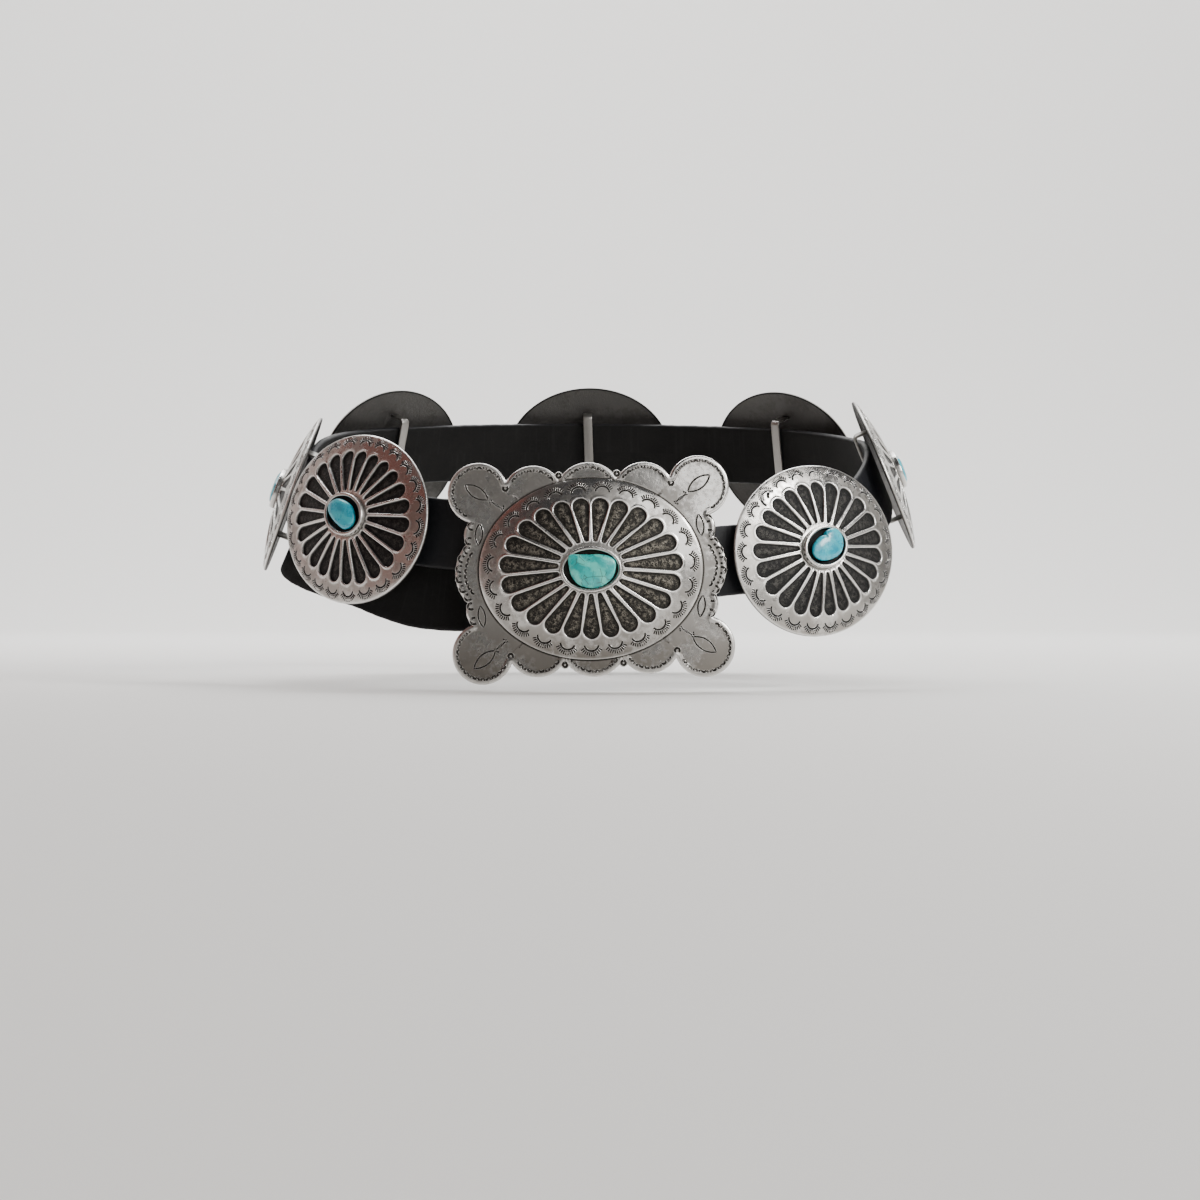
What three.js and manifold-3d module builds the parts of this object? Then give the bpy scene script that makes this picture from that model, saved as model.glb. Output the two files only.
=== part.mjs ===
// A concho belt, fastened round the hips: a black leather strap carrying seven domed silver conchos
// and a large silver buckle, each with a turquoise nugget in a raised oval bezel.
// Millimetres. The front looks along -Y, +X is to the right as seen from the front, +Z is up.
// The origin is the centre of the hip loop, at the height of the buckle's middle.

import * as THREE from 'three';
import { mergeVertices } from 'three/addons/utils/BufferGeometryUtils.js';
import Module from 'manifold-3d';

const wasm = await Module();
wasm.setup();

// Driving dimensions: the hip loop
const loopHalfWidth = 150;
const loopHalfDepth = 115;
const sideRise = 45;
const frontLean = 4;
const sideLean = 24;
const backLean = 12;

// Driving dimensions: the strap
const strapWidth = 28.6;
const strapThickness = 3;
const strapStart = 5;
const strapEnd = 462;
const strapStep = 6.5;

// Driving dimensions: clearances between pieces that touch on the real belt
const clearance = 0.4;
const strapSlack = 0.9;
const barPlay = 1.1;
const tailClearance = 1.9;

// Driving dimensions: conchos
const conchoWidth = 84.5;
const conchoHeight = 70.5;
const conchoDome = 7;
const conchoWall = 1.3;
const conchoRingWidth = 23.5;
const conchoRingHeight = 17.5;
const conchoBridgeHeight = 42;

// Driving dimensions: buckle
const plateWidth = 113;
const plateHeight = 91;
const plateThickness = 1.8;
const plateSag = 4;
const domeWidth = 89.5;
const domeHeight = 72.5;
const domeRise = 8.5;
const domeWall = 1.5;
const buckleRingWidth = 24.5;
const buckleRingHeight = 18.5;
const buckleRoll = 2;
const buckleStandOff = 2.2;
const bridgePlaces = [13, 348];
const postPlaces = [8.5, 353.5];

// Driving dimensions: flutes, bezels, bridges and posts
const petalCount = 23;
const petalDepth = 0.7;
const ringWall = 1.5;
const ringProud = 2.6;
const ringPocket = 1.9;
const ringSink = 0.5;
const cutOvershoot = 1;
const stoneProud = 1.5;
const bridgeWire = 1.2;
const bridgeBreadth = 4.5;
const bridgeGrip = 0.6;
const conchoGrip = 0.4;
const postRadius = 2.2;
const postProud = 0.2;
const postSides = 12;

// A flute's outline. across: share of the pitch between flutes. along: share of the shell's half size.
const petalOutline = [
  { across: -0.27, along: 0.34 },
  { across: -0.385, along: 0.735 },
  { across: -0.25, along: 0.81 },
  { across: 0, along: 0.84 },
  { across: 0.25, along: 0.81 },
  { across: 0.385, along: 0.735 },
  { across: 0.27, along: 0.34 },
];
const petalInnerShare = 0.31;
const domeMiddleShare = 0.6;
const domeFullness = 0.85;
const bucklePetals = 2;

// A quarter of the buckle plate's edge, from the middle of the top round to the middle of the side.
// Each row is a notch between two scallops. across, up: shares of the plate's half size. before, after:
// height of the scallop on either side, as a share of its chord. The tallest is the corner's lobe.
const plateNotches = [
  { across: 0.206, up: 0.8, before: 0.28, after: 0.28 },
  { across: 0.58, up: 0.802, before: 0.28, after: 0.79 },
  { across: 0.855, up: 0.453, before: 0.79, after: 0.16 },
  { across: 0.88, up: 0.26, before: 0.16, after: 0.2 },
];
const lobeHeight = 0.5;
const lobeSteps = 7;
const scallopSteps = 4;

// The strap's way round. round: degrees from the middle of the front, by way of the wearer's right hip,
// which is on the left as seen. rise: share of the side rise. layer: 0 for the belt, 1 for the tail
// that lies inside it.
const strapStations = [
  { round: 5, rise: 0.28, layer: 0 },
  { round: 26, rise: 0.34, layer: 0 },
  { round: 43.5, rise: 0.5, layer: 0 },
  { round: 66, rise: 0.69, layer: 0 },
  { round: 80, rise: 0.87, layer: 0 },
  { round: 92, rise: 1.1, layer: 0 },
  { round: 135, rise: 1.34, layer: 0 },
  { round: 180, rise: 1.42, layer: 0 },
  { round: 225, rise: 1.32, layer: 0 },
  { round: 264, rise: 1.1, layer: 0 },
  { round: 278, rise: 1, layer: 0 },
  { round: 298, rise: 0.66, layer: 0 },
  { round: 321.5, rise: 0.18, layer: 0 },
  { round: 338, rise: 0.09, layer: 0 },
  { round: 350, rise: 0.03, layer: 0 },
  { round: 367, rise: -0.16, layer: 1 },
  { round: 386, rise: -0.2, layer: 1 },
  { round: 404, rise: 0.04, layer: 1 },
  { round: 440, rise: 0.38, layer: 1 },
  { round: 462, rise: 0.55, layer: 1 },
];
const layerSpacing = strapThickness + barPlay + bridgeWire + tailClearance;

// The conchos. round: where each sits on the strap. tilt: how far it has turned on the strap, in degrees.
// drop: how far it hangs below the strap's middle, as a share of the play in its bridge. petals: where
// its first flute points, in degrees from the long axis.
const conchoPlay = (conchoBridgeHeight - strapWidth) / 2 - strapSlack;
const conchoRows = [
  { name: 'left_1', round: 43.5, tilt: -14, drop: 0.2, petals: 0 },
  { name: 'left_2', round: 81, tilt: -4, drop: 0.95, petals: 5 },
  { name: 'back_left', round: 128, tilt: 2, drop: 0.5, petals: 9 },
  { name: 'back', round: 179, tilt: -2, drop: 0.5, petals: 0 },
  { name: 'back_right', round: 229, tilt: 2, drop: 0.5, petals: 4 },
  { name: 'right_2', round: 277, tilt: 3, drop: 0.35, petals: 7 },
  { name: 'right_1', round: 321.5, tilt: 4, drop: 0, petals: 0 },
];

// The turquoise nuggets. long, short: shares of the bezel pocket. turn: the long axis's slope in degrees.
// flat: how much of the upper side is cut off straight. aside, up: shift from the bezel's middle,
// as shares of the pocket's half size. Their levels run from 0 at the seat to 1 at the peak.
const stoneRows = {
  buckle: { long: 0.84, short: 0.84, turn: 0, flat: 0.26, aside: 0.03, up: -0.05 },
  left_1: { long: 0.78, short: 0.8, turn: -8, flat: 0.04, aside: -0.1, up: 0.03 },
  left_2: { long: 0.8, short: 0.78, turn: 6, flat: 0.1, aside: 0, up: 0 },
  back_left: { long: 0.82, short: 0.8, turn: -5, flat: 0.16, aside: 0.03, up: 0 },
  back: { long: 0.76, short: 0.84, turn: 8, flat: 0.08, aside: 0, up: 0.02 },
  back_right: { long: 0.84, short: 0.76, turn: 4, flat: 0.12, aside: -0.03, up: 0 },
  right_2: { long: 0.78, short: 0.8, turn: -6, flat: 0.06, aside: 0, up: 0 },
  right_1: { long: 0.76, short: 0.82, turn: 10, flat: 0.1, aside: 0.1, up: 0.02 },
};
const stoneLevels = [
  { spread: 0.96, level: 0 },
  { spread: 1, level: 0.45 },
  { spread: 0.86, level: 0.82 },
  { spread: 0.5, level: 1 },
];
const stoneSides = 10;
const ringSides = 12;

// Materials
const silver = new THREE.MeshStandardMaterial({ color: 0xb9b4ac, roughness: 0.34, metalness: 1 });
const turquoise = new THREE.MeshStandardMaterial({ color: 0x3fb3b4, roughness: 0.25, metalness: 0 });
const leather = new THREE.MeshStandardMaterial({ color: 0x101013, roughness: 0.6, metalness: 0 });

// Small helpers for geometry
const radians = THREE.MathUtils.degToRad;

function geometryFrom(points, triangles) {
  const geometry = new THREE.BufferGeometry();
  const numbers = points.flatMap((p) => [p.x, p.y, p.z]);
  geometry.setAttribute('position', new THREE.Float32BufferAttribute(numbers, 3));
  geometry.setIndex(triangles.flat());
  return geometry;
}

const sameCorner = 1e-4;

function bareGeometry(geometry) {
  geometry.deleteAttribute('normal');
  geometry.deleteAttribute('uv');
  return mergeVertices(geometry, sameCorner);
}

function solidFrom(geometry) {
  const merged = bareGeometry(geometry.clone());
  return new wasm.Manifold(new wasm.Mesh({
    numProp: 3,
    vertProperties: new Float32Array(merged.attributes.position.array),
    triVerts: new Uint32Array(merged.index.array),
  }));
}

function geometryOf(solid) {
  const mesh = solid.getMesh();
  const geometry = new THREE.BufferGeometry();
  geometry.setAttribute('position', new THREE.BufferAttribute(new Float32Array(mesh.vertProperties), 3));
  geometry.setIndex(new THREE.BufferAttribute(new Uint32Array(mesh.triVerts), 1));
  return geometry;
}

function ovalPoint(width, height, angle, level) {
  return new THREE.Vector3((width / 2) * Math.cos(angle), (height / 2) * Math.sin(angle), level);
}

// Angles of an oval that part its edge into equal lengths. start is the first one, in degrees.
function evenAngles(width, height, count, start) {
  const steps = 720;
  const angles = [];
  let travelled = 0;
  const piece = (i) => {
    const angle = radians(start) + (2 * Math.PI * (i + 0.5)) / steps;
    return Math.hypot(width * Math.sin(angle), height * Math.cos(angle));
  };
  let whole = 0;
  for (let i = 0; i < steps; i += 1) whole += piece(i);
  for (let i = 0; i < steps && angles.length < count; i += 1) {
    const next = (whole * angles.length) / count;
    if (travelled + piece(i) > next) {
      angles.push(radians(start) + (2 * Math.PI * (i + (next - travelled) / piece(i))) / steps);
    }
    travelled += piece(i);
  }
  return angles;
}

function ellipsePath(width, height, sides) {
  const points = [];
  for (let i = 0; i < sides; i += 1) {
    const angle = (2 * Math.PI * i) / sides;
    points.push(new THREE.Vector2((width / 2) * Math.cos(angle), (height / 2) * Math.sin(angle)));
  }
  return points;
}

// A closed body through equal rings of points, from the lowest to the highest, with flat ends.
function loftRings(rings) {
  const sides = rings[0].length;
  const points = rings.flat();
  const triangles = [];
  for (let r = 0; r + 1 < rings.length; r += 1) {
    for (let i = 0; i < sides; i += 1) {
      const a = r * sides + i;
      const b = r * sides + ((i + 1) % sides);
      triangles.push([a, b, b + sides], [a, b + sides, a + sides]);
    }
  }
  const top = (rings.length - 1) * sides;
  for (let i = 1; i + 1 < sides; i += 1) {
    triangles.push([0, i + 1, i], [top, top + i, top + i + 1]);
  }
  return geometryFrom(points, triangles);
}

// Value of a table's column between its rows, on a smooth curve through them.
function tableValue(rows, key, column, at) {
  const last = rows.length - 1;
  let i = 0;
  while (i < last - 1 && at > rows[i + 1][key]) i += 1;
  const slope = (k) => {
    const low = rows[Math.max(k - 1, 0)];
    const high = rows[Math.min(k + 1, last)];
    return (high[column] - low[column]) / (high[key] - low[key]);
  };
  const span = rows[i + 1][key] - rows[i][key];
  const t = (at - rows[i][key]) / span;
  const t2 = t * t;
  const t3 = t2 * t;
  return (2 * t3 - 3 * t2 + 1) * rows[i][column] + (t3 - 2 * t2 + t) * span * slope(i)
    + (3 * t2 - 2 * t3) * rows[i + 1][column] + (t3 - t2) * span * slope(i + 1);
}

function smoothStep(t) {
  const s = Math.min(Math.max(t, 0), 1);
  return s * s * (3 - 2 * s);
}

// The hip loop
function layerAt(round) {
  const rows = strapStations;
  let i = 0;
  while (i < rows.length - 2 && round > rows[i + 1].round) i += 1;
  const t = smoothStep((round - rows[i].round) / (rows[i + 1].round - rows[i].round));
  return rows[i].layer + (rows[i + 1].layer - rows[i].layer) * t;
}

function leanAt(round) {
  const side = Math.sin(radians(round)) ** 2;
  const end = Math.cos(radians(round)) > 0 ? frontLean : backLean;
  return radians(end + (sideLean - end) * side);
}

// The hips widen downwards, so the loop is narrower where the strap lies higher.
function loopMiddle(round) {
  const rise = sideRise * tableValue(strapStations, 'round', 'rise', round);
  const angle = radians(round);
  const end = Math.cos(angle) > 0 ? frontLean : backLean;
  const halfWidth = loopHalfWidth - rise * Math.tan(radians(sideLean));
  const halfDepth = loopHalfDepth - rise * Math.tan(radians(end));
  return new THREE.Vector3(-halfWidth * Math.sin(angle), -halfDepth * Math.cos(angle), rise);
}

// Axes at a place on the loop: along points to the right as seen from outside, across points up
// over the strap's width, and out points away from the body.
function loopFrame(round) {
  const step = 0.5;
  const along = loopMiddle(round - step).sub(loopMiddle(round + step)).normalize();
  const level = new THREE.Vector3(along.y, -along.x, 0).normalize();
  const lean = leanAt(round);
  const wanted = level.multiplyScalar(Math.cos(lean)).add(new THREE.Vector3(0, 0, Math.sin(lean)));
  const across = wanted.clone().cross(along).normalize();
  const out = along.clone().cross(across).normalize();
  const middle = loopMiddle(round).addScaledVector(out, -layerSpacing * layerAt(round));
  return { middle, along, across, out };
}

function frameMatrix(frame) {
  const matrix = new THREE.Matrix4().makeBasis(frame.along, frame.across, frame.out);
  return matrix.setPosition(frame.middle);
}

// Strap: one strip of leather, from behind the buckle round the hips, back through behind the buckle,
// and on as the tail inside the belt on the left
function strapSection(round) {
  const { middle, across, out } = loopFrame(round);
  const corner = (side, face) => middle.clone()
    .addScaledVector(across, (side * strapWidth) / 2)
    .addScaledVector(out, (face * strapThickness) / 2);
  return [corner(-1, -1), corner(-1, 1), corner(1, 1), corner(1, -1)];
}

function strapSolid() {
  const steps = Math.round((strapEnd - strapStart) / strapStep);
  const rings = [];
  for (let i = 0; i <= steps; i += 1) {
    rings.push(strapSection(strapStart + ((strapEnd - strapStart) * i) / steps));
  }
  return solidFrom(loftRings(rings));
}

// The edge of one flute's sector, in the same terms as the flute's outline
const sectorEdge = [
  { across: -0.5, along: petalInnerShare },
  { across: 0.5, along: petalInnerShare },
  { across: 0.5, along: domeMiddleShare },
  { across: 0.5, along: 1 },
  { across: 0, along: 1 },
  { across: -0.5, along: 1 },
  { across: -0.5, along: domeMiddleShare },
];

// A fluted dome: a thin shell with its rim on the plane z = 0 and its flutes sunk from above.
// Its surface is laid out in sectors, one for each flute.
function domeLevel(share, rise, edge) {
  return edge + (rise - edge) * Math.cos((Math.PI / 2) * share) ** domeFullness;
}

function flutedShell({ width, height, rise, wall, petals }) {
  const halfPitch = 180 / petalCount;
  const borders = evenAngles(width, height, petalCount, petals - halfPitch);
  borders.push(borders[0] + 2 * Math.PI);
  const top = (share, angle, sink = 0) =>
    ovalPoint(width * share, height * share, angle, domeLevel(share, rise, wall) - sink);
  const under = (share, angle) =>
    ovalPoint(width * share, height * share, angle, domeLevel(share, rise - wall, 0));
  const points = [];
  const triangles = [];
  const put = (corners, order) => {
    const first = points.length;
    points.push(...corners);
    triangles.push(...order.map((t) => t.map((i) => first + i)));
  };
  for (let petal = 0; petal < petalCount; petal += 1) {
    const left = borders[petal];
    const right = borders[petal + 1];
    const middle = (left + right) / 2;
    const pitch = right - left;
    const flat = (rows) => rows.map((p) => new THREE.Vector2(p.across * pitch, p.along));
    const place = (p, sink) => top(p.along, middle + p.across * pitch, sink);

    // The skin between the flutes, from the crown's edge to the rim
    const rows = [...sectorEdge, ...petalOutline];
    const skin = THREE.ShapeUtils.triangulateShape(flat(sectorEdge), [flat(petalOutline)]);
    put(rows.map((p) => place(p)), skin.map((t) => outward(rows, t)));

    // The flute's floor and walls
    const floor = THREE.ShapeUtils.triangulateShape(flat(petalOutline), []);
    put(petalOutline.map((p) => place(p, petalDepth)), floor.map((t) => outward(petalOutline, t)));
    petalOutline.forEach((a, i) => {
      const b = petalOutline[(i + 1) % petalOutline.length];
      put([place(a), place(b), place(b, petalDepth), place(a, petalDepth)], [[0, 1, 2], [0, 2, 3]]);
    });

    // The crown, the rim's edge and the hollow underside
    const crown = new THREE.Vector3(0, 0, domeLevel(petalInnerShare, rise, wall));
    const hollow = new THREE.Vector3(0, 0, domeLevel(petalInnerShare, rise - wall, 0));
    put([crown, top(petalInnerShare, left), top(petalInnerShare, right)], [[0, 1, 2]]);
    put([left, middle, right].flatMap((angle) => [top(1, angle), under(1, angle)]),
      [[0, 3, 2], [0, 1, 3], [2, 5, 4], [2, 3, 5]]);
    put([
      under(1, left), under(1, middle), under(1, right),
      under(domeMiddleShare, left), under(domeMiddleShare, right),
      under(petalInnerShare, left), under(petalInnerShare, right), hollow,
    ], [[0, 3, 1], [3, 4, 1], [1, 4, 2], [3, 5, 4], [5, 6, 4], [5, 7, 6]]);
  }
  return solidFrom(geometryFrom(points, triangles));
}

// Puts three corners of a sector in the order that faces up, as across runs anticlockwise and along runs out.
function outward(rows, [a, b, c]) {
  const area = (rows[b].across - rows[a].across) * (rows[c].along - rows[a].along)
    - (rows[c].across - rows[a].across) * (rows[b].along - rows[a].along);
  return area < 0 ? [a, b, c] : [a, c, b];
}

// A bezel: an oval cup soldered on the crown of a dome
function bezelCup(width, height, crown) {
  const ring = (inset, level) => ellipsePath(width - 2 * inset, height - 2 * inset, ringSides)
    .map((p) => new THREE.Vector3(p.x, p.y, level));
  const outside = solidFrom(loftRings([ring(0, crown - ringSink), ring(0, crown + ringProud)]));
  const pocket = solidFrom(loftRings([
    ring(ringWall, crown + ringProud - ringPocket),
    ring(ringWall, crown + ringProud + cutOvershoot),
  ]));
  return outside.subtract(pocket);
}

// A bridge: a flat wire bent to a U and soldered behind a shell, with the strap between the shell and its bar.
// low and high are the inner faces of its legs, bar is the level of the bar's front face.
function bridgeGeometry({ low, high, bar, tops }) {
  const outline = new THREE.Shape([
    new THREE.Vector2(low - bridgeWire, tops.low),
    new THREE.Vector2(low - bridgeWire, bar - bridgeWire),
    new THREE.Vector2(high + bridgeWire, bar - bridgeWire),
    new THREE.Vector2(high + bridgeWire, tops.high),
    new THREE.Vector2(high, tops.high),
    new THREE.Vector2(high, bar),
    new THREE.Vector2(low, bar),
    new THREE.Vector2(low, tops.low),
  ]);
  const geometry = new THREE.ExtrudeGeometry(outline, { depth: bridgeBreadth, bevelEnabled: false });
  const upright = new THREE.Matrix4().makeBasis(
    new THREE.Vector3(0, 1, 0), new THREE.Vector3(0, 0, 1), new THREE.Vector3(1, 0, 0));
  return geometry.applyMatrix4(upright).translate(-bridgeBreadth / 2, 0, 0);
}

// A nugget: a rounded irregular stone that stands in its bezel's pocket
function stoneGeometry(row, ringWidth, ringHeight, crown) {
  const pocketWidth = ringWidth - 2 * ringWall;
  const pocketHeight = ringHeight - 2 * ringWall;
  const turn = radians(row.turn);
  const outline = (share, level) => {
    const ring = [];
    for (let i = 0; i < stoneSides; i += 1) {
      const angle = (2 * Math.PI * (i + 0.5)) / stoneSides;
      const x = Math.cos(angle) * row.long;
      const y = Math.min(Math.sin(angle), 1 - row.flat) * row.short;
      ring.push(new THREE.Vector3(
        (pocketWidth / 2) * (share * (x * Math.cos(turn) - y * Math.sin(turn)) + row.aside),
        (pocketHeight / 2) * (share * (x * Math.sin(turn) + y * Math.cos(turn)) + row.up),
        level,
      ));
    }
    return ring;
  };
  const seat = crown + ringProud - ringPocket + clearance;
  const peak = crown + ringProud + stoneProud;
  return loftRings(stoneLevels.map((row) => outline(row.spread, seat + row.level * (peak - seat))));
}

// Conchos
const conchoCrown = domeLevel(petalInnerShare, conchoDome, conchoWall);

function conchoSolid(row) {
  const shell = flutedShell({
    width: conchoWidth, height: conchoHeight, rise: conchoDome, wall: conchoWall, petals: row.petals,
  });
  const reach = conchoBridgeHeight / 2;
  const share = (reach + bridgeWire / 2) / (conchoHeight / 2);
  const seat = domeLevel(share, conchoDome - conchoWall, 0) + conchoGrip;
  const bridge = solidFrom(bridgeGeometry({
    low: -reach, high: reach, bar: -clearance - strapThickness - barPlay, tops: { low: seat, high: seat },
  }));
  return shell.add(bezelCup(conchoRingWidth, conchoRingHeight, conchoCrown)).add(bridge);
}

function conchoPlace(row) {
  const frame = loopFrame(row.round);
  const drop = row.drop * conchoPlay;
  frame.middle.addScaledVector(frame.out, strapThickness / 2 + clearance);
  frame.middle.addScaledVector(frame.across, -drop);
  return frameMatrix(frame).multiply(new THREE.Matrix4().makeRotationZ(radians(row.tilt)));
}

// Buckle
function scallopPoints(from, to, height, steps) {
  const chord = to.clone().sub(from);
  const sag = chord.length() * height;
  const radius = (chord.length() ** 2 / 4 + sag ** 2) / (2 * sag);
  const outside = new THREE.Vector2(-chord.y, chord.x).normalize();
  const centre = from.clone().add(to).multiplyScalar(0.5).addScaledVector(outside, sag - radius);
  const first = from.clone().sub(centre).angle();
  let sweep = first - to.clone().sub(centre).angle();
  if (sweep < 0) sweep += 2 * Math.PI;
  const points = [];
  for (let i = 0; i < steps; i += 1) {
    const angle = first - (sweep * i) / steps;
    points.push(new THREE.Vector2(centre.x + radius * Math.cos(angle), centre.y + radius * Math.sin(angle)));
  }
  return points;
}

// Edge of the plate, clockwise from the notch beside the top's middle scallop
function platePath() {
  const notch = (row, sx, sy) =>
    new THREE.Vector2((sx * row.across * plateWidth) / 2, (sy * row.up * plateHeight) / 2);
  const back = [...plateNotches].reverse();
  const stops = [
    ...plateNotches.map((row) => ({ at: notch(row, 1, 1), height: row.after })),
    ...back.map((row) => ({ at: notch(row, 1, -1), height: row.before })),
    ...plateNotches.map((row) => ({ at: notch(row, -1, -1), height: row.after })),
    ...back.map((row) => ({ at: notch(row, -1, 1), height: row.before })),
  ];
  return stops.flatMap((stop, i) => {
    const next = stops[(i + 1) % stops.length];
    return scallopPoints(stop.at, next.at, stop.height, stop.height > lobeHeight ? lobeSteps : scallopSteps);
  });
}

// The plate and its dome are bowed a little round the body.
const bendRadius = plateWidth ** 2 / (8 * plateSag);
const domeSeat = plateThickness - ringSink;
const buckleCrown = domeSeat + domeLevel(petalInnerShare, domeRise, domeWall);
const windowShare = 0.92;

function bent(geometry) {
  const position = geometry.attributes.position;
  for (let i = 0; i < position.count; i += 1) {
    position.setZ(i, position.getZ(i) - position.getX(i) ** 2 / (2 * bendRadius));
  }
  return geometry;
}

// Level of the underside of the plate or dome, in the buckle's own axes
function buckleUnderside(x, y) {
  const share = Math.hypot(x / (domeWidth / 2), y / (domeHeight / 2));
  const flat = share < windowShare ? domeSeat + domeLevel(share, domeRise - domeWall, 0) : 0;
  return flat - x ** 2 / (2 * bendRadius);
}

function buckleFrame() {
  const lean = radians(frontLean);
  const out = new THREE.Vector3(0, -Math.cos(lean), Math.sin(lean));
  const along = new THREE.Vector3(1, 0, 0).applyAxisAngle(out, radians(buckleRoll));
  const across = out.clone().cross(along);
  const middle = new THREE.Vector3(0, -loopHalfDepth, 0)
    .addScaledVector(out, strapThickness / 2 + buckleStandOff);
  return { middle, along, across, out };
}

// From the strap's own axes at a place on the loop to the buckle's axes
function strapToBuckle(round) {
  return frameMatrix(buckleFrame()).invert().multiply(frameMatrix(loopFrame(round)));
}

// Level, in the strap's axes, at which a post or leg standing on the strap has gone into the buckle by grip
function levelInBuckle(matrix, side, grip) {
  let level = strapThickness;
  const rounds = 6;
  for (let i = 0; i < rounds; i += 1) {
    const at = new THREE.Vector3(0, side, level).applyMatrix4(matrix);
    level += buckleUnderside(at.x, at.y) + grip - at.z;
  }
  return level;
}

function buckleBridge(round) {
  const matrix = strapToBuckle(round);
  const reach = strapWidth / 2 + strapSlack;
  const bar = -strapThickness / 2 - barPlay;
  const leg = reach + bridgeWire / 2;
  const tops = { low: levelInBuckle(matrix, -leg, bridgeGrip), high: levelInBuckle(matrix, leg, bridgeGrip) };
  return solidFrom(bridgeGeometry({ low: -reach, high: reach, bar, tops }).applyMatrix4(matrix));
}

function postGeometry(radius, from, to) {
  const ring = (level) => ellipsePath(2 * radius, 2 * radius, postSides)
    .map((p) => new THREE.Vector3(p.x, p.y, level));
  return loftRings([ring(from), ring(to)]);
}

function bucklePost(round) {
  const matrix = strapToBuckle(round);
  const end = -strapThickness / 2 - postProud;
  const geometry = postGeometry(postRadius, end, levelInBuckle(matrix, 0, bridgeGrip));
  return solidFrom(geometry.applyMatrix4(matrix));
}

function postHole(round) {
  const geometry = postGeometry(postRadius + clearance, -strapThickness, strapThickness);
  return solidFrom(geometry.applyMatrix4(frameMatrix(loopFrame(round))));
}

function buckleSolid() {
  const outline = new THREE.Shape(platePath());
  outline.holes.push(new THREE.Path(ellipsePath(
    domeWidth * windowShare, domeHeight * windowShare, 2 * petalCount)));
  const plate = solidFrom(new THREE.ExtrudeGeometry(outline, { depth: plateThickness, bevelEnabled: false }));
  const dome = flutedShell({
    width: domeWidth, height: domeHeight, rise: domeRise, wall: domeWall, petals: bucklePetals,
  }).translate([0, 0, domeSeat]);
  const flat = plate.add(dome).add(bezelCup(buckleRingWidth, buckleRingHeight, buckleCrown));
  let solid = solidFrom(bent(geometryOf(flat)));
  bridgePlaces.forEach((round) => { solid = solid.add(buckleBridge(round)); });
  postPlaces.forEach((round) => { solid = solid.add(bucklePost(round)); });
  return solid;
}

// The belt
const belt = new THREE.Group();

function addPiece(name, geometry, material, matrix = new THREE.Matrix4()) {
  const mesh = new THREE.Mesh(bareGeometry(geometry), material);
  mesh.name = name;
  mesh.applyMatrix4(matrix);
  belt.add(mesh);
}

let strap = strapSolid();
postPlaces.forEach((round) => { strap = strap.subtract(postHole(round)); });
addPiece('strap', geometryOf(strap), leather);

const buckleMatrix = frameMatrix(buckleFrame());
addPiece('buckle', geometryOf(buckleSolid()), silver, buckleMatrix);
addPiece('buckle_stone', bent(stoneGeometry(stoneRows.buckle, buckleRingWidth, buckleRingHeight, buckleCrown)),
  turquoise, buckleMatrix);

conchoRows.forEach((row) => {
  const place = conchoPlace(row);
  addPiece(`concho_${row.name}`, geometryOf(conchoSolid(row)), silver, place);
  addPiece(`stone_${row.name}`,
    stoneGeometry(stoneRows[row.name], conchoRingWidth, conchoRingHeight, conchoCrown), turquoise, place);
});

export default belt;
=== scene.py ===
# A concho belt, fastened round the hips: a black leather strap with seven domed silver conchos and a large
# silver buckle, each with a turquoise nugget in a raised oval bezel.
# Metres, in the frame of the model: the front looks along -Y, +X is to the right, +Z is up.

import math

import bmesh
import bpy
import numpy as np
from mathutils import Matrix


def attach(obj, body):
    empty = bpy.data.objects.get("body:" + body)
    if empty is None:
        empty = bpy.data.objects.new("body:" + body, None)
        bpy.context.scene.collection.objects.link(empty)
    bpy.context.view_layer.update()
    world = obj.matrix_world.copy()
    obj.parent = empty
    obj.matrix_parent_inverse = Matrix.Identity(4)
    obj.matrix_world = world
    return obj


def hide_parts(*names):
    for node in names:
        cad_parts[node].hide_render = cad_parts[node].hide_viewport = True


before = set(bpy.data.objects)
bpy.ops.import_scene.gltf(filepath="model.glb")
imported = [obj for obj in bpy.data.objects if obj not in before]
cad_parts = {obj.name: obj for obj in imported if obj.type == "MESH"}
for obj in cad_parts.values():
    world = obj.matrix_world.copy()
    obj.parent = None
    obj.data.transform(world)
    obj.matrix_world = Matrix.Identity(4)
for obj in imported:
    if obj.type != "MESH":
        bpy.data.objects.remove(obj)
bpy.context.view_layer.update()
mm = 0.001


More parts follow.
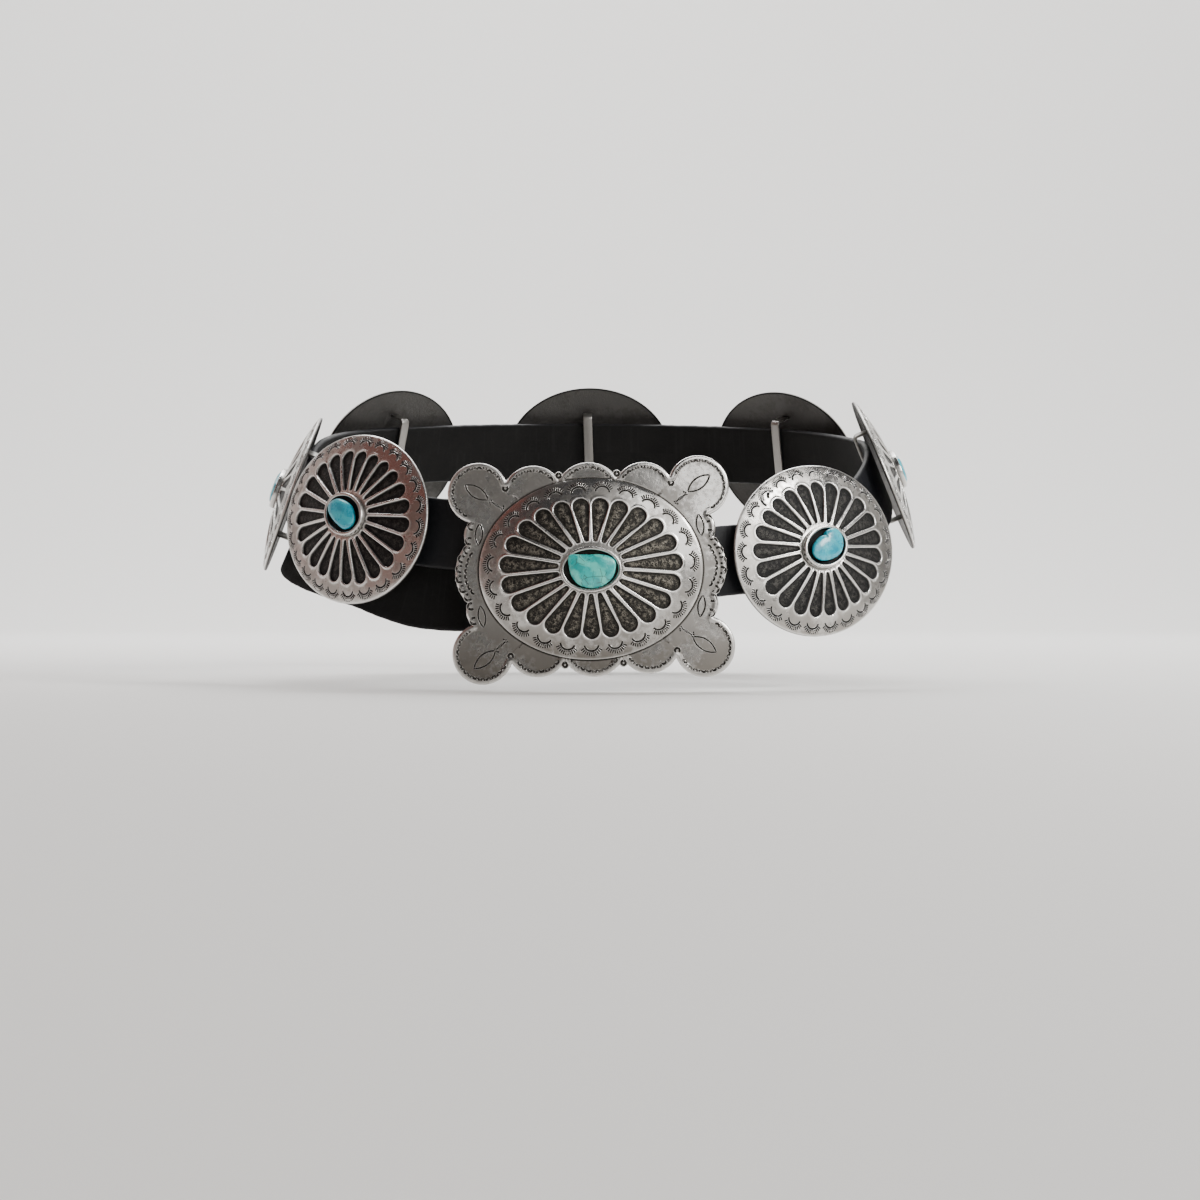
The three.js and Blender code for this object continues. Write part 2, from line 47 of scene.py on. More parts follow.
# The strap: one strip of black belt leather, smooth on its grain side and raw on its flesh side.
# It goes round the hips once, passes behind the buckle and runs on inside the belt as the tail.
# Cut from one hide, with its edges rounded over and burnished.
strap_width = 28.6 * mm
strap_thickness = 3 * mm
strap_edge_radius = 1.0 * mm
strap_start = 5
strap_end = 462
strap_step = 0.75
strap_post_hole = 5.2 * mm
post_places = [8.5, 353.5]
loop_half_width = 150 * mm
loop_half_depth = 115 * mm
side_rise = 45 * mm
front_lean = 4
side_lean = 24
back_lean = 12
layer_spacing = 7.2 * mm
strap_stations = [
    {"round": 5, "rise": 0.28, "layer": 0},
    {"round": 26, "rise": 0.34, "layer": 0},
    {"round": 43.5, "rise": 0.5, "layer": 0},
    {"round": 66, "rise": 0.69, "layer": 0},
    {"round": 80, "rise": 0.87, "layer": 0},
    {"round": 92, "rise": 1.1, "layer": 0},
    {"round": 135, "rise": 1.34, "layer": 0},
    {"round": 180, "rise": 1.42, "layer": 0},
    {"round": 225, "rise": 1.32, "layer": 0},
    {"round": 264, "rise": 1.1, "layer": 0},
    {"round": 278, "rise": 1, "layer": 0},
    {"round": 298, "rise": 0.66, "layer": 0},
    {"round": 321.5, "rise": 0.18, "layer": 0},
    {"round": 338, "rise": 0.09, "layer": 0},
    {"round": 350, "rise": 0.03, "layer": 0},
    {"round": 367, "rise": -0.16, "layer": 1},
    {"round": 386, "rise": -0.2, "layer": 1},
    {"round": 404, "rise": 0.04, "layer": 1},
    {"round": 440, "rise": 0.38, "layer": 1},
    {"round": 462, "rise": 0.55, "layer": 1},
]


def station_before(place):
    last = len(strap_stations) - 2
    passed = [i for i, row in enumerate(strap_stations) if row["round"] < place]
    return min(max(passed, default=0), last)


def strap_rise(place):
    """Height of the strap's middle as a share of the side rise, on a smooth curve through the stations."""
    rows = strap_stations
    i = station_before(place)

    def slope(k):
        low = rows[max(k - 1, 0)]
        high = rows[min(k + 1, len(rows) - 1)]
        return (high["rise"] - low["rise"]) / (high["round"] - low["round"])

    span = rows[i + 1]["round"] - rows[i]["round"]
    t = (place - rows[i]["round"]) / span
    return (
        (2 * t**3 - 3 * t**2 + 1) * rows[i]["rise"]
        + (t**3 - 2 * t**2 + t) * span * slope(i)
        + (3 * t**2 - 2 * t**3) * rows[i + 1]["rise"]
        + (t**3 - t**2) * span * slope(i + 1)
    )


def eased(t):
    t = np.clip(t, 0, 1)
    return t * t * (3 - 2 * t)


def strap_layer(place):
    i = station_before(place)
    low = strap_stations[i]
    high = strap_stations[i + 1]
    t = (place - low["round"]) / (high["round"] - low["round"])
    return low["layer"] + (high["layer"] - low["layer"]) * eased(t)


def end_lean(place):
    return front_lean if math.cos(math.radians(place)) > 0 else back_lean


def loop_middle(place):
    """Middle of the strap at a place on the loop. The hips widen downwards, so the loop narrows as it rises."""
    turn = math.radians(place)
    rise = side_rise * strap_rise(place)
    half_width = loop_half_width - rise * math.tan(math.radians(side_lean))
    half_depth = loop_half_depth - rise * math.tan(math.radians(end_lean(place)))
    return np.array([-half_width * math.sin(turn), -half_depth * math.cos(turn), rise])


def unit(vector):
    return vector / np.linalg.norm(vector)


def loop_frame(place):
    """A 4x4 matrix whose columns are along, across and out at a place on the loop, and its middle."""
    along = unit(loop_middle(place - 0.5) - loop_middle(place + 0.5))
    level = unit(np.array([along[1], -along[0], 0]))
    side = math.sin(math.radians(place)) ** 2
    lean = math.radians(end_lean(place) + (side_lean - end_lean(place)) * side)
    wanted = level * math.cos(lean) + np.array([0, 0, math.sin(lean)])
    across = unit(np.cross(wanted, along))
    out = unit(np.cross(along, across))
    matrix = np.eye(4)
    matrix[:3, 0] = along
    matrix[:3, 1] = across
    matrix[:3, 2] = out
    matrix[:3, 3] = loop_middle(place) - out * layer_spacing * strap_layer(place)
    return matrix


def placed(points, matrix):
    return points @ matrix[:3, :3].T + matrix[:3, 3]


def wrap_faces(rows, columns):
    """Quads of a grid that closes on itself along each row."""
    row = np.arange(rows - 1)[:, None] * columns
    column = np.arange(columns)[None, :]
    beside = (column + 1) % columns
    quads = np.stack([row + column, row + beside, row + columns + beside, row + columns + column], axis=-1)
    return quads.reshape(-1, 4)


def mesh_from(name, points, faces, marks=None):
    """A mesh from points and faces, with a float attribute for each entry of marks."""
    mesh = bpy.data.meshes.new(name)
    mesh.from_pydata(np.asarray(points).tolist(), [], [list(map(int, face)) for face in faces])
    for key, values in (marks or {}).items():
        layer = mesh.attributes.new(key, "FLOAT", "POINT")
        layer.data.foreach_set("value", np.asarray(values, dtype=np.float32))
    return mesh


def closed_up(mesh):
    """Merges doubles, drops faces without area and turns every face outwards."""
    work = bmesh.new()
    work.from_mesh(mesh)
    bmesh.ops.remove_doubles(work, verts=work.verts, dist=2e-6)
    bmesh.ops.dissolve_degenerate(work, edges=work.edges, dist=1e-7)
    bmesh.ops.recalc_face_normals(work, faces=work.faces)
    work.to_mesh(mesh)
    work.free()
    return mesh


def shown(name, mesh, material):
    mesh.name = name
    mesh.materials.clear()
    mesh.materials.append(material)
    mesh.polygons.foreach_set("use_smooth", np.ones(len(mesh.polygons), dtype=bool))
    piece = bpy.data.objects.new(name, mesh)
    bpy.context.scene.collection.objects.link(piece)
    return piece


def plain_copy(piece):
    """The evaluated shape of a piece with modifiers, as a plain mesh."""
    bpy.context.view_layer.update()
    graph = bpy.context.evaluated_depsgraph_get()
    return bpy.data.meshes.new_from_object(piece.evaluated_get(graph))


def strap_outline():
    """Points round the strap's section: across, out and the way travelled, from the middle of the flesh side."""
    half = strap_width / 2 - strap_edge_radius
    deep = strap_thickness / 2 - strap_edge_radius
    turns = np.radians(np.linspace(0, 90, 5))
    face = np.linspace(0, 1, 9)[1:]
    points = [(-half * t, -strap_thickness / 2) for t in np.linspace(0, 1, 9)]
    for sx, sy, start in ((-1, -1, 270), (-1, 1, 180), (1, 1, 90), (1, -1, 0)):
        for turn in turns[1:] if (sx, sy) == (-1, -1) else turns:
            angle = math.radians(start) - turn
            points.append((
                sx * half + strap_edge_radius * math.cos(angle),
                sy * deep + strap_edge_radius * math.sin(angle),
            ))
        if (sx, sy) == (-1, 1):
            points += [(-half + 2 * half * t, strap_thickness / 2) for t in np.linspace(0, 1, 17)[1:-1]]
    points += [(half * (1 - t), -strap_thickness / 2) for t in face[:-1]]
    return np.array(points)


def node(tree, kind, inputs=None, **settings):
    """Adds a node. A value in inputs is either a constant or another node's output socket."""
    made = tree.nodes.new(kind)
    for key, value in settings.items():
        setattr(made, key, value)
    for key, value in (inputs or {}).items():
        if isinstance(value, bpy.types.NodeSocket):
            tree.links.new(value, made.inputs[key])
        else:
            made.inputs[key].default_value = value
    return made


def blend_colours(tree, factor, low, high):
    return node(tree, "ShaderNodeMix", {0: factor, 6: low, 7: high}, data_type="RGBA").outputs[2]


def calc(tree, operation, first, second=0.0, third=0.0):
    return node(tree, "ShaderNodeMath", {0: first, 1: second, 2: third}, operation=operation).outputs[0]


def ranged(tree, value, low, high, to_low=0.0, to_high=1.0):
    inputs = {"Value": value, "From Min": low, "From Max": high, "To Min": to_low, "To Max": to_high}
    return node(tree, "ShaderNodeMapRange", inputs, interpolation_type="SMOOTHSTEP").outputs[0]


def effect_group(name, inputs, outputs):
    """An empty shader node group with its named sockets, and its input and output nodes."""
    tree = bpy.data.node_groups.new(name, "ShaderNodeTree")
    for key, (kind, value) in inputs.items():
        socket = tree.interface.new_socket(key, in_out="INPUT", socket_type=kind)
        if value is not None:
            socket.default_value = value
    for key, kind in outputs.items():
        tree.interface.new_socket(key, in_out="OUTPUT", socket_type=kind)
    return tree, tree.nodes.new("NodeGroupInput"), tree.nodes.new("NodeGroupOutput")


def filled_group(tree, group, inputs):
    return node(tree, "ShaderNodeGroup", inputs, node_tree=group)


def new_material(name):
    material = bpy.data.materials.new(name)
    material.use_nodes = True
    tree = material.node_tree
    tree.nodes.clear()
    shader = tree.nodes.new("ShaderNodeBsdfPrincipled")
    output = tree.nodes.new("ShaderNodeOutputMaterial")
    tree.links.new(shader.outputs[0], output.inputs[0])
    return material, tree, shader


def mottling_group():
    """Uneven patches at two scales, as on tarnished metal, worn leather or a veined stone."""
    inputs = {
        "Vector": ("NodeSocketVector", None),
        "Patch scale": ("NodeSocketFloat", 60.0),
        "Speck scale": ("NodeSocketFloat", 600.0),
        "Speck share": ("NodeSocketFloat", 0.4),
    }
    tree, given, result = effect_group("Mottling", inputs, {"Mask": "NodeSocketFloat"})
    start = {"Vector": given.outputs["Vector"]}
    patches = node(tree, "ShaderNodeTexNoise", {**start, "Scale": given.outputs["Patch scale"], "Detail": 3.0})
    specks = node(tree, "ShaderNodeTexNoise", {**start, "Scale": given.outputs["Speck scale"], "Detail": 4.0})
    wide = ranged(tree, patches.outputs[0], 0.32, 0.68)
    fine = ranged(tree, specks.outputs[0], 0.34, 0.66)
    share = given.outputs["Speck share"]
    kept = calc(tree, "SUBTRACT", 1.0, share)
    mask = calc(tree, "MULTIPLY_ADD", wide, kept, calc(tree, "MULTIPLY", fine, share))
    tree.links.new(mask, result.inputs["Mask"])
    return tree


def scratches_group():
    """Fine wear scratches in three crossing directions."""
    inputs = {"Vector": ("NodeSocketVector", None), "Scale": ("NodeSocketFloat", 500.0)}
    tree, given, result = effect_group("Fine scratches", inputs, {"Mask": "NodeSocketFloat"})
    total = None
    for turn in ((0.3, 0.2, 0.5), (0.9, -0.6, 2.0), (-0.5, 0.8, 3.9)):
        inputs = {"Vector": given.outputs["Vector"], "Rotation": turn, "Scale": (1.0, 0.04, 1.0)}
        turned = node(tree, "ShaderNodeMapping", inputs)
        grain = {"Vector": turned.outputs[0], "Scale": given.outputs["Scale"], "Detail": 2.0}
        lines = node(tree, "ShaderNodeTexNoise", grain)
        thin = ranged(tree, lines.outputs[0], 0.6, 0.72)
        total = thin if total is None else calc(tree, "MAXIMUM", total, thin)
    tree.links.new(total, result.inputs["Mask"])
    return tree


mottling = mottling_group()
fine_scratches = scratches_group()


def black_leather():
    material, tree, shader = new_material("black_leather")
    way = node(tree, "ShaderNodeUVMap", uv_map="strap_way").outputs[0]
    flesh = node(tree, "ShaderNodeAttribute", attribute_name="flesh").outputs["Fac"]
    edge = node(tree, "ShaderNodeAttribute", attribute_name="edge").outputs["Fac"]
    rough = node(tree, "ShaderNodeAttribute", attribute_name="suede").outputs["Fac"]
    raw = calc(tree, "MAXIMUM", flesh, rough)

    # Grain: small pebbles broken by creases on the smooth side, and a felted nap on the raw side
    pebbles = node(tree, "ShaderNodeTexVoronoi", {"Vector": way, "Scale": 1500.0}, feature="SMOOTH_F1")
    creases = node(tree, "ShaderNodeTexNoise", {"Vector": way, "Scale": 260.0, "Detail": 6.0, "Distortion": 1.2})
    nap = node(tree, "ShaderNodeTexNoise", {"Vector": way, "Scale": 2600.0, "Detail": 5.0, "Roughness": 0.75})
    grain = calc(tree, "MULTIPLY_ADD", pebbles.outputs[0], 0.5, creases.outputs[0])
    felt = calc(tree, "MULTIPLY_ADD", nap.outputs[0], 1.6, creases.outputs[0])
    height = node(tree, "ShaderNodeMix", {0: raw, 2: grain, 3: felt}).outputs[0]
    bump = node(tree, "ShaderNodeBump", {"Height": height, "Strength": 0.55, "Distance": 0.00025})

    # Dye: nearly black, a little blue on the smooth side, dull and dusty on the raw side
    blotches = {"Vector": way, "Patch scale": 45.0, "Speck scale": 900.0, "Speck share": 0.35}
    patches = filled_group(tree, mottling, blotches)
    smooth_dye = blend_colours(tree, patches.outputs[0], (0.0035, 0.004, 0.0058, 1), (0.0075, 0.0082, 0.011, 1))
    raw_dye = blend_colours(tree, patches.outputs[0], (0.0016, 0.0015, 0.0015, 1), (0.0055, 0.0052, 0.0049, 1))
    dye = blend_colours(tree, raw, smooth_dye, raw_dye)
    scuffs = filled_group(tree, fine_scratches, {"Vector": way, "Scale": 420.0})
    scuffed = calc(tree, "MULTIPLY", scuffs.outputs[0], 0.25)
    worn = calc(tree, "MULTIPLY", calc(tree, "MAXIMUM", edge, scuffed), 0.3)
    tree.links.new(blend_colours(tree, worn, dye, (0.035, 0.034, 0.036, 1)), shader.inputs["Base Color"])
    smooth_shine = ranged(tree, patches.outputs[0], 0.0, 1.0, 0.42, 0.56)
    shine = node(tree, "ShaderNodeMix", {0: raw, 2: smooth_shine, 3: 0.88})
    tree.links.new(shine.outputs[0], shader.inputs["Roughness"])
    tree.links.new(bump.outputs[0], shader.inputs["Normal"])
    shader.inputs["Specular IOR Level"].default_value = 0.3
    return material


leather = black_leather()
outline = strap_outline()
around = len(outline)
steps = int(round((strap_end - strap_start) / strap_step)) + 1
places = np.linspace(strap_start, strap_end, steps)
rows = []
way_along = [0.0]
for place in places:
    matrix = loop_frame(place)
    ripple = 0.1 * mm * (math.sin(place * 0.9) + math.sin(place * 2.3 + 1.3))
    section = np.stack([np.zeros(around), outline[:, 0] + 0.5 * ripple, outline[:, 1]], axis=1)
    if rows:
        way_along.append(way_along[-1] + np.linalg.norm(matrix[:3, 3] - last_middle))
    last_middle = matrix[:3, 3]
    rows.append(placed(section, matrix))
strap_points = np.concatenate(rows)
strap_faces = [list(face) for face in wrap_faces(steps, around)]
strap_faces += [list(range(around)), list(range((steps - 1) * around, steps * around))]
out_share = np.tile(outline[:, 1] / (strap_thickness / 2), steps)
across_share = np.tile(np.abs(outline[:, 0]) / (strap_width / 2), steps)
place_of = np.repeat(places, around)
suede = np.maximum(eased((place_of - 352) / 10), 0.85 * eased((30 - place_of) / 12))
marks = {
    "flesh": eased((-0.1 - out_share) / 0.5) * (across_share < 0.96),
    "edge": eased((across_share - 0.925) / 0.05),
    "suede": suede,
}
strap_mesh = mesh_from("belt_strap", strap_points, strap_faces, marks)
way_round = np.concatenate([[0], np.cumsum(np.linalg.norm(np.diff(outline, axis=0), axis=1))])
way_map = strap_mesh.uv_layers.new(name="strap_way")
full_round = way_round[-1] + np.linalg.norm(outline[0] - outline[-1])
corner_points = np.zeros(len(strap_mesh.loops), dtype=np.int32)
strap_mesh.loops.foreach_get("vertex_index", corner_points)
section_of = corner_points // around
way_of = way_round[corner_points % around]
quad_corners = (steps - 1) * around * 4
quads_way = way_of[:quad_corners].reshape(-1, 4)
wrapped = (quads_way.max(axis=1) - quads_way.min(axis=1)) > full_round / 2
over_seam = quads_way[wrapped]
quads_way[wrapped] = np.where(over_seam < full_round / 2, over_seam + full_round, over_seam)
way_of[:quad_corners] = quads_way.reshape(-1)
way_values = np.stack([np.array(way_along)[section_of], way_of], axis=1)
way_map.data.foreach_set("uv", way_values.astype(np.float32).reshape(-1))
work = bmesh.new()
work.from_mesh(strap_mesh)
bmesh.ops.recalc_face_normals(work, faces=work.faces)
work.to_mesh(strap_mesh)
work.free()
strap = shown("belt_strap", strap_mesh, leather)

# Two holes for the buckle's posts, punched through both faces
punches = []
for place in post_places:
    turns = np.linspace(0, 2 * math.pi, 33)[:-1]
    ring = np.stack([np.cos(turns), np.sin(turns), np.zeros(32)], axis=1) * strap_post_hole / 2
    ends = [ring + [0, 0, level] for level in (-2 * strap_thickness, 2 * strap_thickness)]
    faces = [list(face) for face in wrap_faces(2, 32)] + [list(range(32)), list(range(32, 64))]
    punches.append((placed(np.concatenate(ends), loop_frame(place)), faces))
punch_points = np.concatenate([points for points, faces in punches])
punch_faces = punches[0][1] + [[i + 64 for i in face] for face in punches[1][1]]
punch = shown("hole_punch", closed_up(mesh_from("hole_punch", punch_points, punch_faces)), leather)
cut = strap.modifiers.new("post_holes", "BOOLEAN")
cut.operation = "DIFFERENCE"
cut.solver = "EXACT"
cut.object = punch
punched = plain_copy(strap)
strap.modifiers.clear()
strap.data = punched
bpy.data.objects.remove(punch)
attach(strap, "root")
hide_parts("strap")


# The buckle: a cast and stamped silver plate with scalloped sides and four corner lobes, and a fluted dome
# soldered on it. The oxide is left in the flutes and the stamped lines, and polished off everywhere else.
# Two bridges and two posts behind it hold the strap. All of it is soldered, so it is one piece.
plate_width = 113 * mm
plate_height = 91 * mm
plate_thickness = 1.8 * mm
plate_sag = 4 * mm
dome_width = 89.5 * mm
dome_height = 72.5 * mm
dome_rise = 8.5 * mm
dome_wall = 1.5 * mm
dome_fullness = 0.85
buckle_ring_width = 24.5 * mm
buckle_ring_height = 18.5 * mm
buckle_ring_drop = 0.9 * mm
ring_sink = 0.5 * mm
ring_wall = 1.5 * mm
dome_seat = plate_thickness - ring_sink
buckle_roll = 2
buckle_stand_off = 2.2 * mm
bridge_places = [13, 348]
strap_slack = 0.9 * mm
bar_play = 1.1 * mm
clearance = 0.4 * mm
bridge_wire = 1.2 * mm
bridge_breadth = 4.5 * mm
bridge_grip = 0.2 * mm
post_radius = 2.2 * mm
post_proud = 0.2 * mm
bend_radius = plate_width**2 / (8 * plate_sag)

# A quarter of the plate's edge, from the middle of the top round to the middle of the side: each row is
# a notch between two scallops, as shares of the half size, with the scallops' heights as shares of the chord.
plate_notches = [
    {"across": 0.206, "up": 0.8, "before": 0.28, "after": 0.28},
    {"across": 0.58, "up": 0.802, "before": 0.28, "after": 0.79},
    {"across": 0.855, "up": 0.453, "before": 0.79, "after": 0.16},
    {"across": 0.88, "up": 0.26, "before": 0.16, "after": 0.2},
]

petal_count = 23
petal_depth = 0.85 * mm
petal_lip = 0.2 * mm
petal_wall = 0.34 * mm


def oval(width, height, turns, share=1.0):
    return np.stack([share * width / 2 * np.cos(turns), share * height / 2 * np.sin(turns)], axis=-1)


def even_turns(width, height, count, first):
    """Angles that part an oval's edge into equal lengths, from the first one, in degrees."""
    fine = math.radians(first) + np.linspace(0, 2 * math.pi, 7201)
    way = np.concatenate([[0], np.cumsum(np.linalg.norm(np.diff(oval(width, height, fine), axis=0), axis=1))])
    return np.interp(np.linspace(0, way[-1], count + 1), way, fine)


def dome_level(share, rise, edge):
    return edge + (rise - edge) * np.clip(np.cos(math.pi / 2 * np.clip(share, 0, 1)), 0, 1) ** dome_fullness


def share_of(shell, points):
    return np.hypot(points[..., 0] / (shell["width"] / 2), points[..., 1] / (shell["height"] / 2))


def top_level(shell, points):
    """Height of a dome's outer surface over flat points, without its flutes."""
    return dome_level(share_of(shell, points), shell["rise"], shell["wall"])


def flute_patch(shell, left, right):
    """One sector of a dome with its sunk flute: a grid of rings from the sector's edge in to the flute's axis."""
    middle = (left + right) / 2
    crown = shell["crown"]
    pitch = shell["pitch"]
    heading = oval(shell["width"], shell["height"], np.array([middle]))[0]
    reach = np.linalg.norm(heading)
    heading = heading / reach
    small = 0.33 * pitch * shell["flute_start"]
    large = 0.318 * pitch
    start = heading * (reach * shell["flute_start"] + small)
    end = heading * (reach - shell["flute_margin"] - large)

    # The sector's edge, anticlockwise from the inner end of its left side
    along_out = np.linspace(crown, shell["band"], 25)
    across = np.linspace(0, 1, 23)
    inner = np.linspace(0, 1, 7)
    edge = [oval(shell["width"], shell["height"], left + (right - left) * (1 - t), crown) for t in inner[:-1]]
    edge += [oval(shell["width"], shell["height"], left, share) for share in along_out[:-1]]
    edge += [oval(shell["width"], shell["height"], left + (right - left) * t, shell["band"]) for t in across[:-1]]
    edge += [oval(shell["width"], shell["height"], right, share) for share in along_out[::-1][:-1]]
    edge = np.array(edge)

    # Each point's way to the flute's outline, and on to its axis
    axis = end - start
    length = np.linalg.norm(axis)
    axis = axis / length
    aside = np.array([-axis[1], axis[0]])
    flare = math.asin((large - small) / length)
    away = edge - start
    up = away @ axis
    side = np.abs(away @ aside)
    foot = np.clip(up + side * math.tan(flare), 0, length)
    centre = start + foot[:, None] * axis
    spoke = edge - centre
    gap = np.linalg.norm(spoke, axis=1)
    spoke = spoke / gap[:, None]
    radius = small + (large - small) * foot / length
    gap = gap - radius
    rings = []
    depths = []
    for share in (1.0, 0.7, 0.45, 0.27, 0.13, 0.04):
        rings.append(centre + spoke * (radius + gap * share)[:, None])
        depths.append(-gap * share)
    for share in (1.0, 0.96, 0.9, 0.83, 0.74, 0.6, 0.4, 0.2, 0.0):
        rings.append(centre + spoke * (radius * share)[:, None])
        depths.append(radius * (1 - share))
    flat = np.array(rings)
    depth = np.array(depths)
    inside = np.clip(depth, 0, None)
    outside = np.clip(-depth, 0, None)
    level = top_level(shell, flat)
    sunk = petal_depth * eased(inside / petal_wall)
    pillow = 0.22 * mm * eased(inside / np.maximum(radius, 1e-6))
    lip = petal_lip * np.exp(-(((outside - 0.3 * mm) / (0.32 * mm)) ** 2)) * (depth <= 0)
    fade = eased((share_of(shell, flat) - crown) / 0.02)
    level = level - sunk + pillow * (depth > 0) + lip * fade
    points = np.concatenate([flat, level[..., None]], axis=-1).reshape(-1, 3)
    marks = {
        "recess": eased((inside - 0.02 * mm) / (0.2 * mm)).reshape(-1),
        "wear": np.where(depth > 0, eased(inside / np.maximum(radius, 1e-6)),
                         np.exp(-((outside / (0.55 * mm)) ** 2))).reshape(-1),
        "seam": np.zeros(flat.shape[0] * flat.shape[1]),
    }
    return points, wrap_faces(flat.shape[0], flat.shape[1]), marks


def gathered(parts):
    """Joins parts of points, faces and marks into one."""
    points = np.concatenate([part[0] for part in parts])
    offsets = np.cumsum([0] + [len(part[0]) for part in parts[:-1]])
    faces = np.concatenate([part[1] + offset for part, offset in zip(parts, offsets)])
    marks = {key: np.concatenate([part[2][key] for part in parts]) for key in ("recess", "wear", "seam")}
    return points, faces, marks


def ringed_part(rings, recess, wear, seam):
    """A surface through equal rings of points. recess, wear and seam hold one value a ring."""
    rings = np.array(rings)
    columns = rings.shape[1]
    spread = {"recess": recess, "wear": wear, "seam": seam}
    marks = {key: np.repeat(np.broadcast_to(values, len(rings)), columns) for key, values in spread.items()}
    return rings.reshape(-1, 3), wrap_faces(*rings.shape[:2]), marks


def fluted_dome(shell):
    """A hollow dome with sunk flutes, a plain band and a rounded rim, in its own axes."""
    borders = even_turns(shell["width"], shell["height"], petal_count, shell["petals"] - 180 / petal_count)
    parts = [flute_patch(shell, left, right) for left, right in zip(borders[:-1], borders[1:])]
    turns = np.concatenate([np.linspace(a, b, 23)[:-1] for a, b in zip(borders[:-1], borders[1:])])
    few = np.concatenate([np.linspace(a, b, 7)[:-1] for a, b in zip(borders[:-1], borders[1:])])
    size = (shell["width"], shell["height"])
    rise, wall = shell["rise"], shell["wall"]

    def ring(turns, share, level, inset=0.0):
        flat = oval(size[0] - 2 * inset, size[1] - 2 * inset, turns, share)
        return np.concatenate([flat, np.full((len(turns), 1), level)], axis=1)

    shares = np.linspace(shell["band"], 0.985, 9)
    rim_rows = [
        (0.28 * mm, wall + 0.1 * mm),
        (0.08 * mm, wall - 0.06 * mm),
        (0.0, wall - 0.32 * mm),
        (0.0, 0.35 * mm),
        (0.12 * mm, 0.08 * mm),
        (0.4 * mm, 0.0),
    ]
    band = [ring(turns, share, dome_level(share, rise, wall)) for share in shares]
    band += [ring(turns, 1, level, inset) for inset, level in rim_rows]
    under = [0.97, 0.92, 0.84, 0.7, 0.5, 0.3, 0.12, 0.0]
    band += [ring(turns, share, dome_level(share, rise - wall, 0)) for share in under]
    count = len(shares)
    recess = np.array([0.0] * count + [0, 0, 0.25, 0.9, 1, 1] + [0.85] * len(under))
    wear = np.array([0.0] * (count - 1) + [0.2, 0.7, 0.9, 0.3, 0, 0, 0] + [0.0] * len(under))
    seam = np.array([0.0] * count + [0, 0, 0.3, 0.9, 1, 1] + [0.3] * len(under))
    parts.append(ringed_part(band, recess, wear, seam))
    crown = shell["crown"]
    crown_shares = (crown, crown * 0.85, crown * 0.4, 0)
    crown_rows = [ring(few, share, dome_level(share, rise, wall)) for share in crown_shares]
    parts.append(ringed_part(crown_rows, 0.0, 0.2, [0.25, 1, 1, 1]))
    return gathered(parts)


def wobble(turns, seed, size):
    """A smooth hand-made unevenness round a ring."""
    chance = np.random.RandomState(seed)
    total = np.zeros_like(turns)
    for waves in (2, 3, 5, 8):
        total += chance.uniform(-1, 1) * np.cos(waves * turns + chance.uniform(0, 6.28)) / waves**0.5
    return size * total


def bezel_part(width, height, crown, seed):
    """An oval cup with thick filed walls, soldered on the crown, in which the stone stands."""
    turns = np.linspace(0, 2 * math.pi, 97)[:-1]

    # Each ring's inset and level in mm, and how black and how bright it is
    profile = [
        (-0.1, -0.5, 0.6, 0), (0.0, 0.05, 0.8, 0), (0.03, 1.0, 0.2, 0.1), (0.08, 1.9, 0, 0.3),
        (0.16, 2.35, 0, 0.9), (0.34, 2.52, 0, 0.7), (0.7, 2.57, 0, 0.1), (1.15, 2.56, 0, 0.1),
        (1.38, 2.45, 0, 0.5), (1.48, 2.1, 0.7, 0), (1.5, 1.3, 1, 0), (1.55, 0.9, 1, 0), (1.9, 0.72, 1, 0),
    ]
    uneven = wobble(turns, seed, 0.1 * mm)
    tilt = wobble(turns, seed + 7, 0.05 * mm)
    rings = []
    for inset, level, _, _ in profile:
        share = inset * mm / ring_wall
        away = inset * mm + uneven * (0.25 + share)
        flat = np.stack([(width / 2 - away) * np.cos(turns), (height / 2 - away) * np.sin(turns)], axis=1)
        height_here = crown + level * mm + tilt * (level > 1.5)
        rings.append(np.concatenate([flat, np.broadcast_to(height_here, turns.shape)[:, None]], axis=1))
    for share in (0.5, 0.0):
        rings.append(np.concatenate([rings[-1][:, :2] * share, np.full((96, 1), crown + 0.7 * mm)], axis=1))
    rings.insert(0, np.concatenate([rings[0][:, :2] * 0, np.full((96, 1), crown - 0.5 * mm)], axis=1))
    recess = [0.0] + [row[2] for row in profile] + [1.0, 1.0]
    wear = [0.0] + [row[3] for row in profile] + [0.0, 0.0]
    seam = [1.0, 1.0, 0.8, 0.2] + [0.0] * (len(rings) - 4)
    return ringed_part(rings, recess, wear, seam)


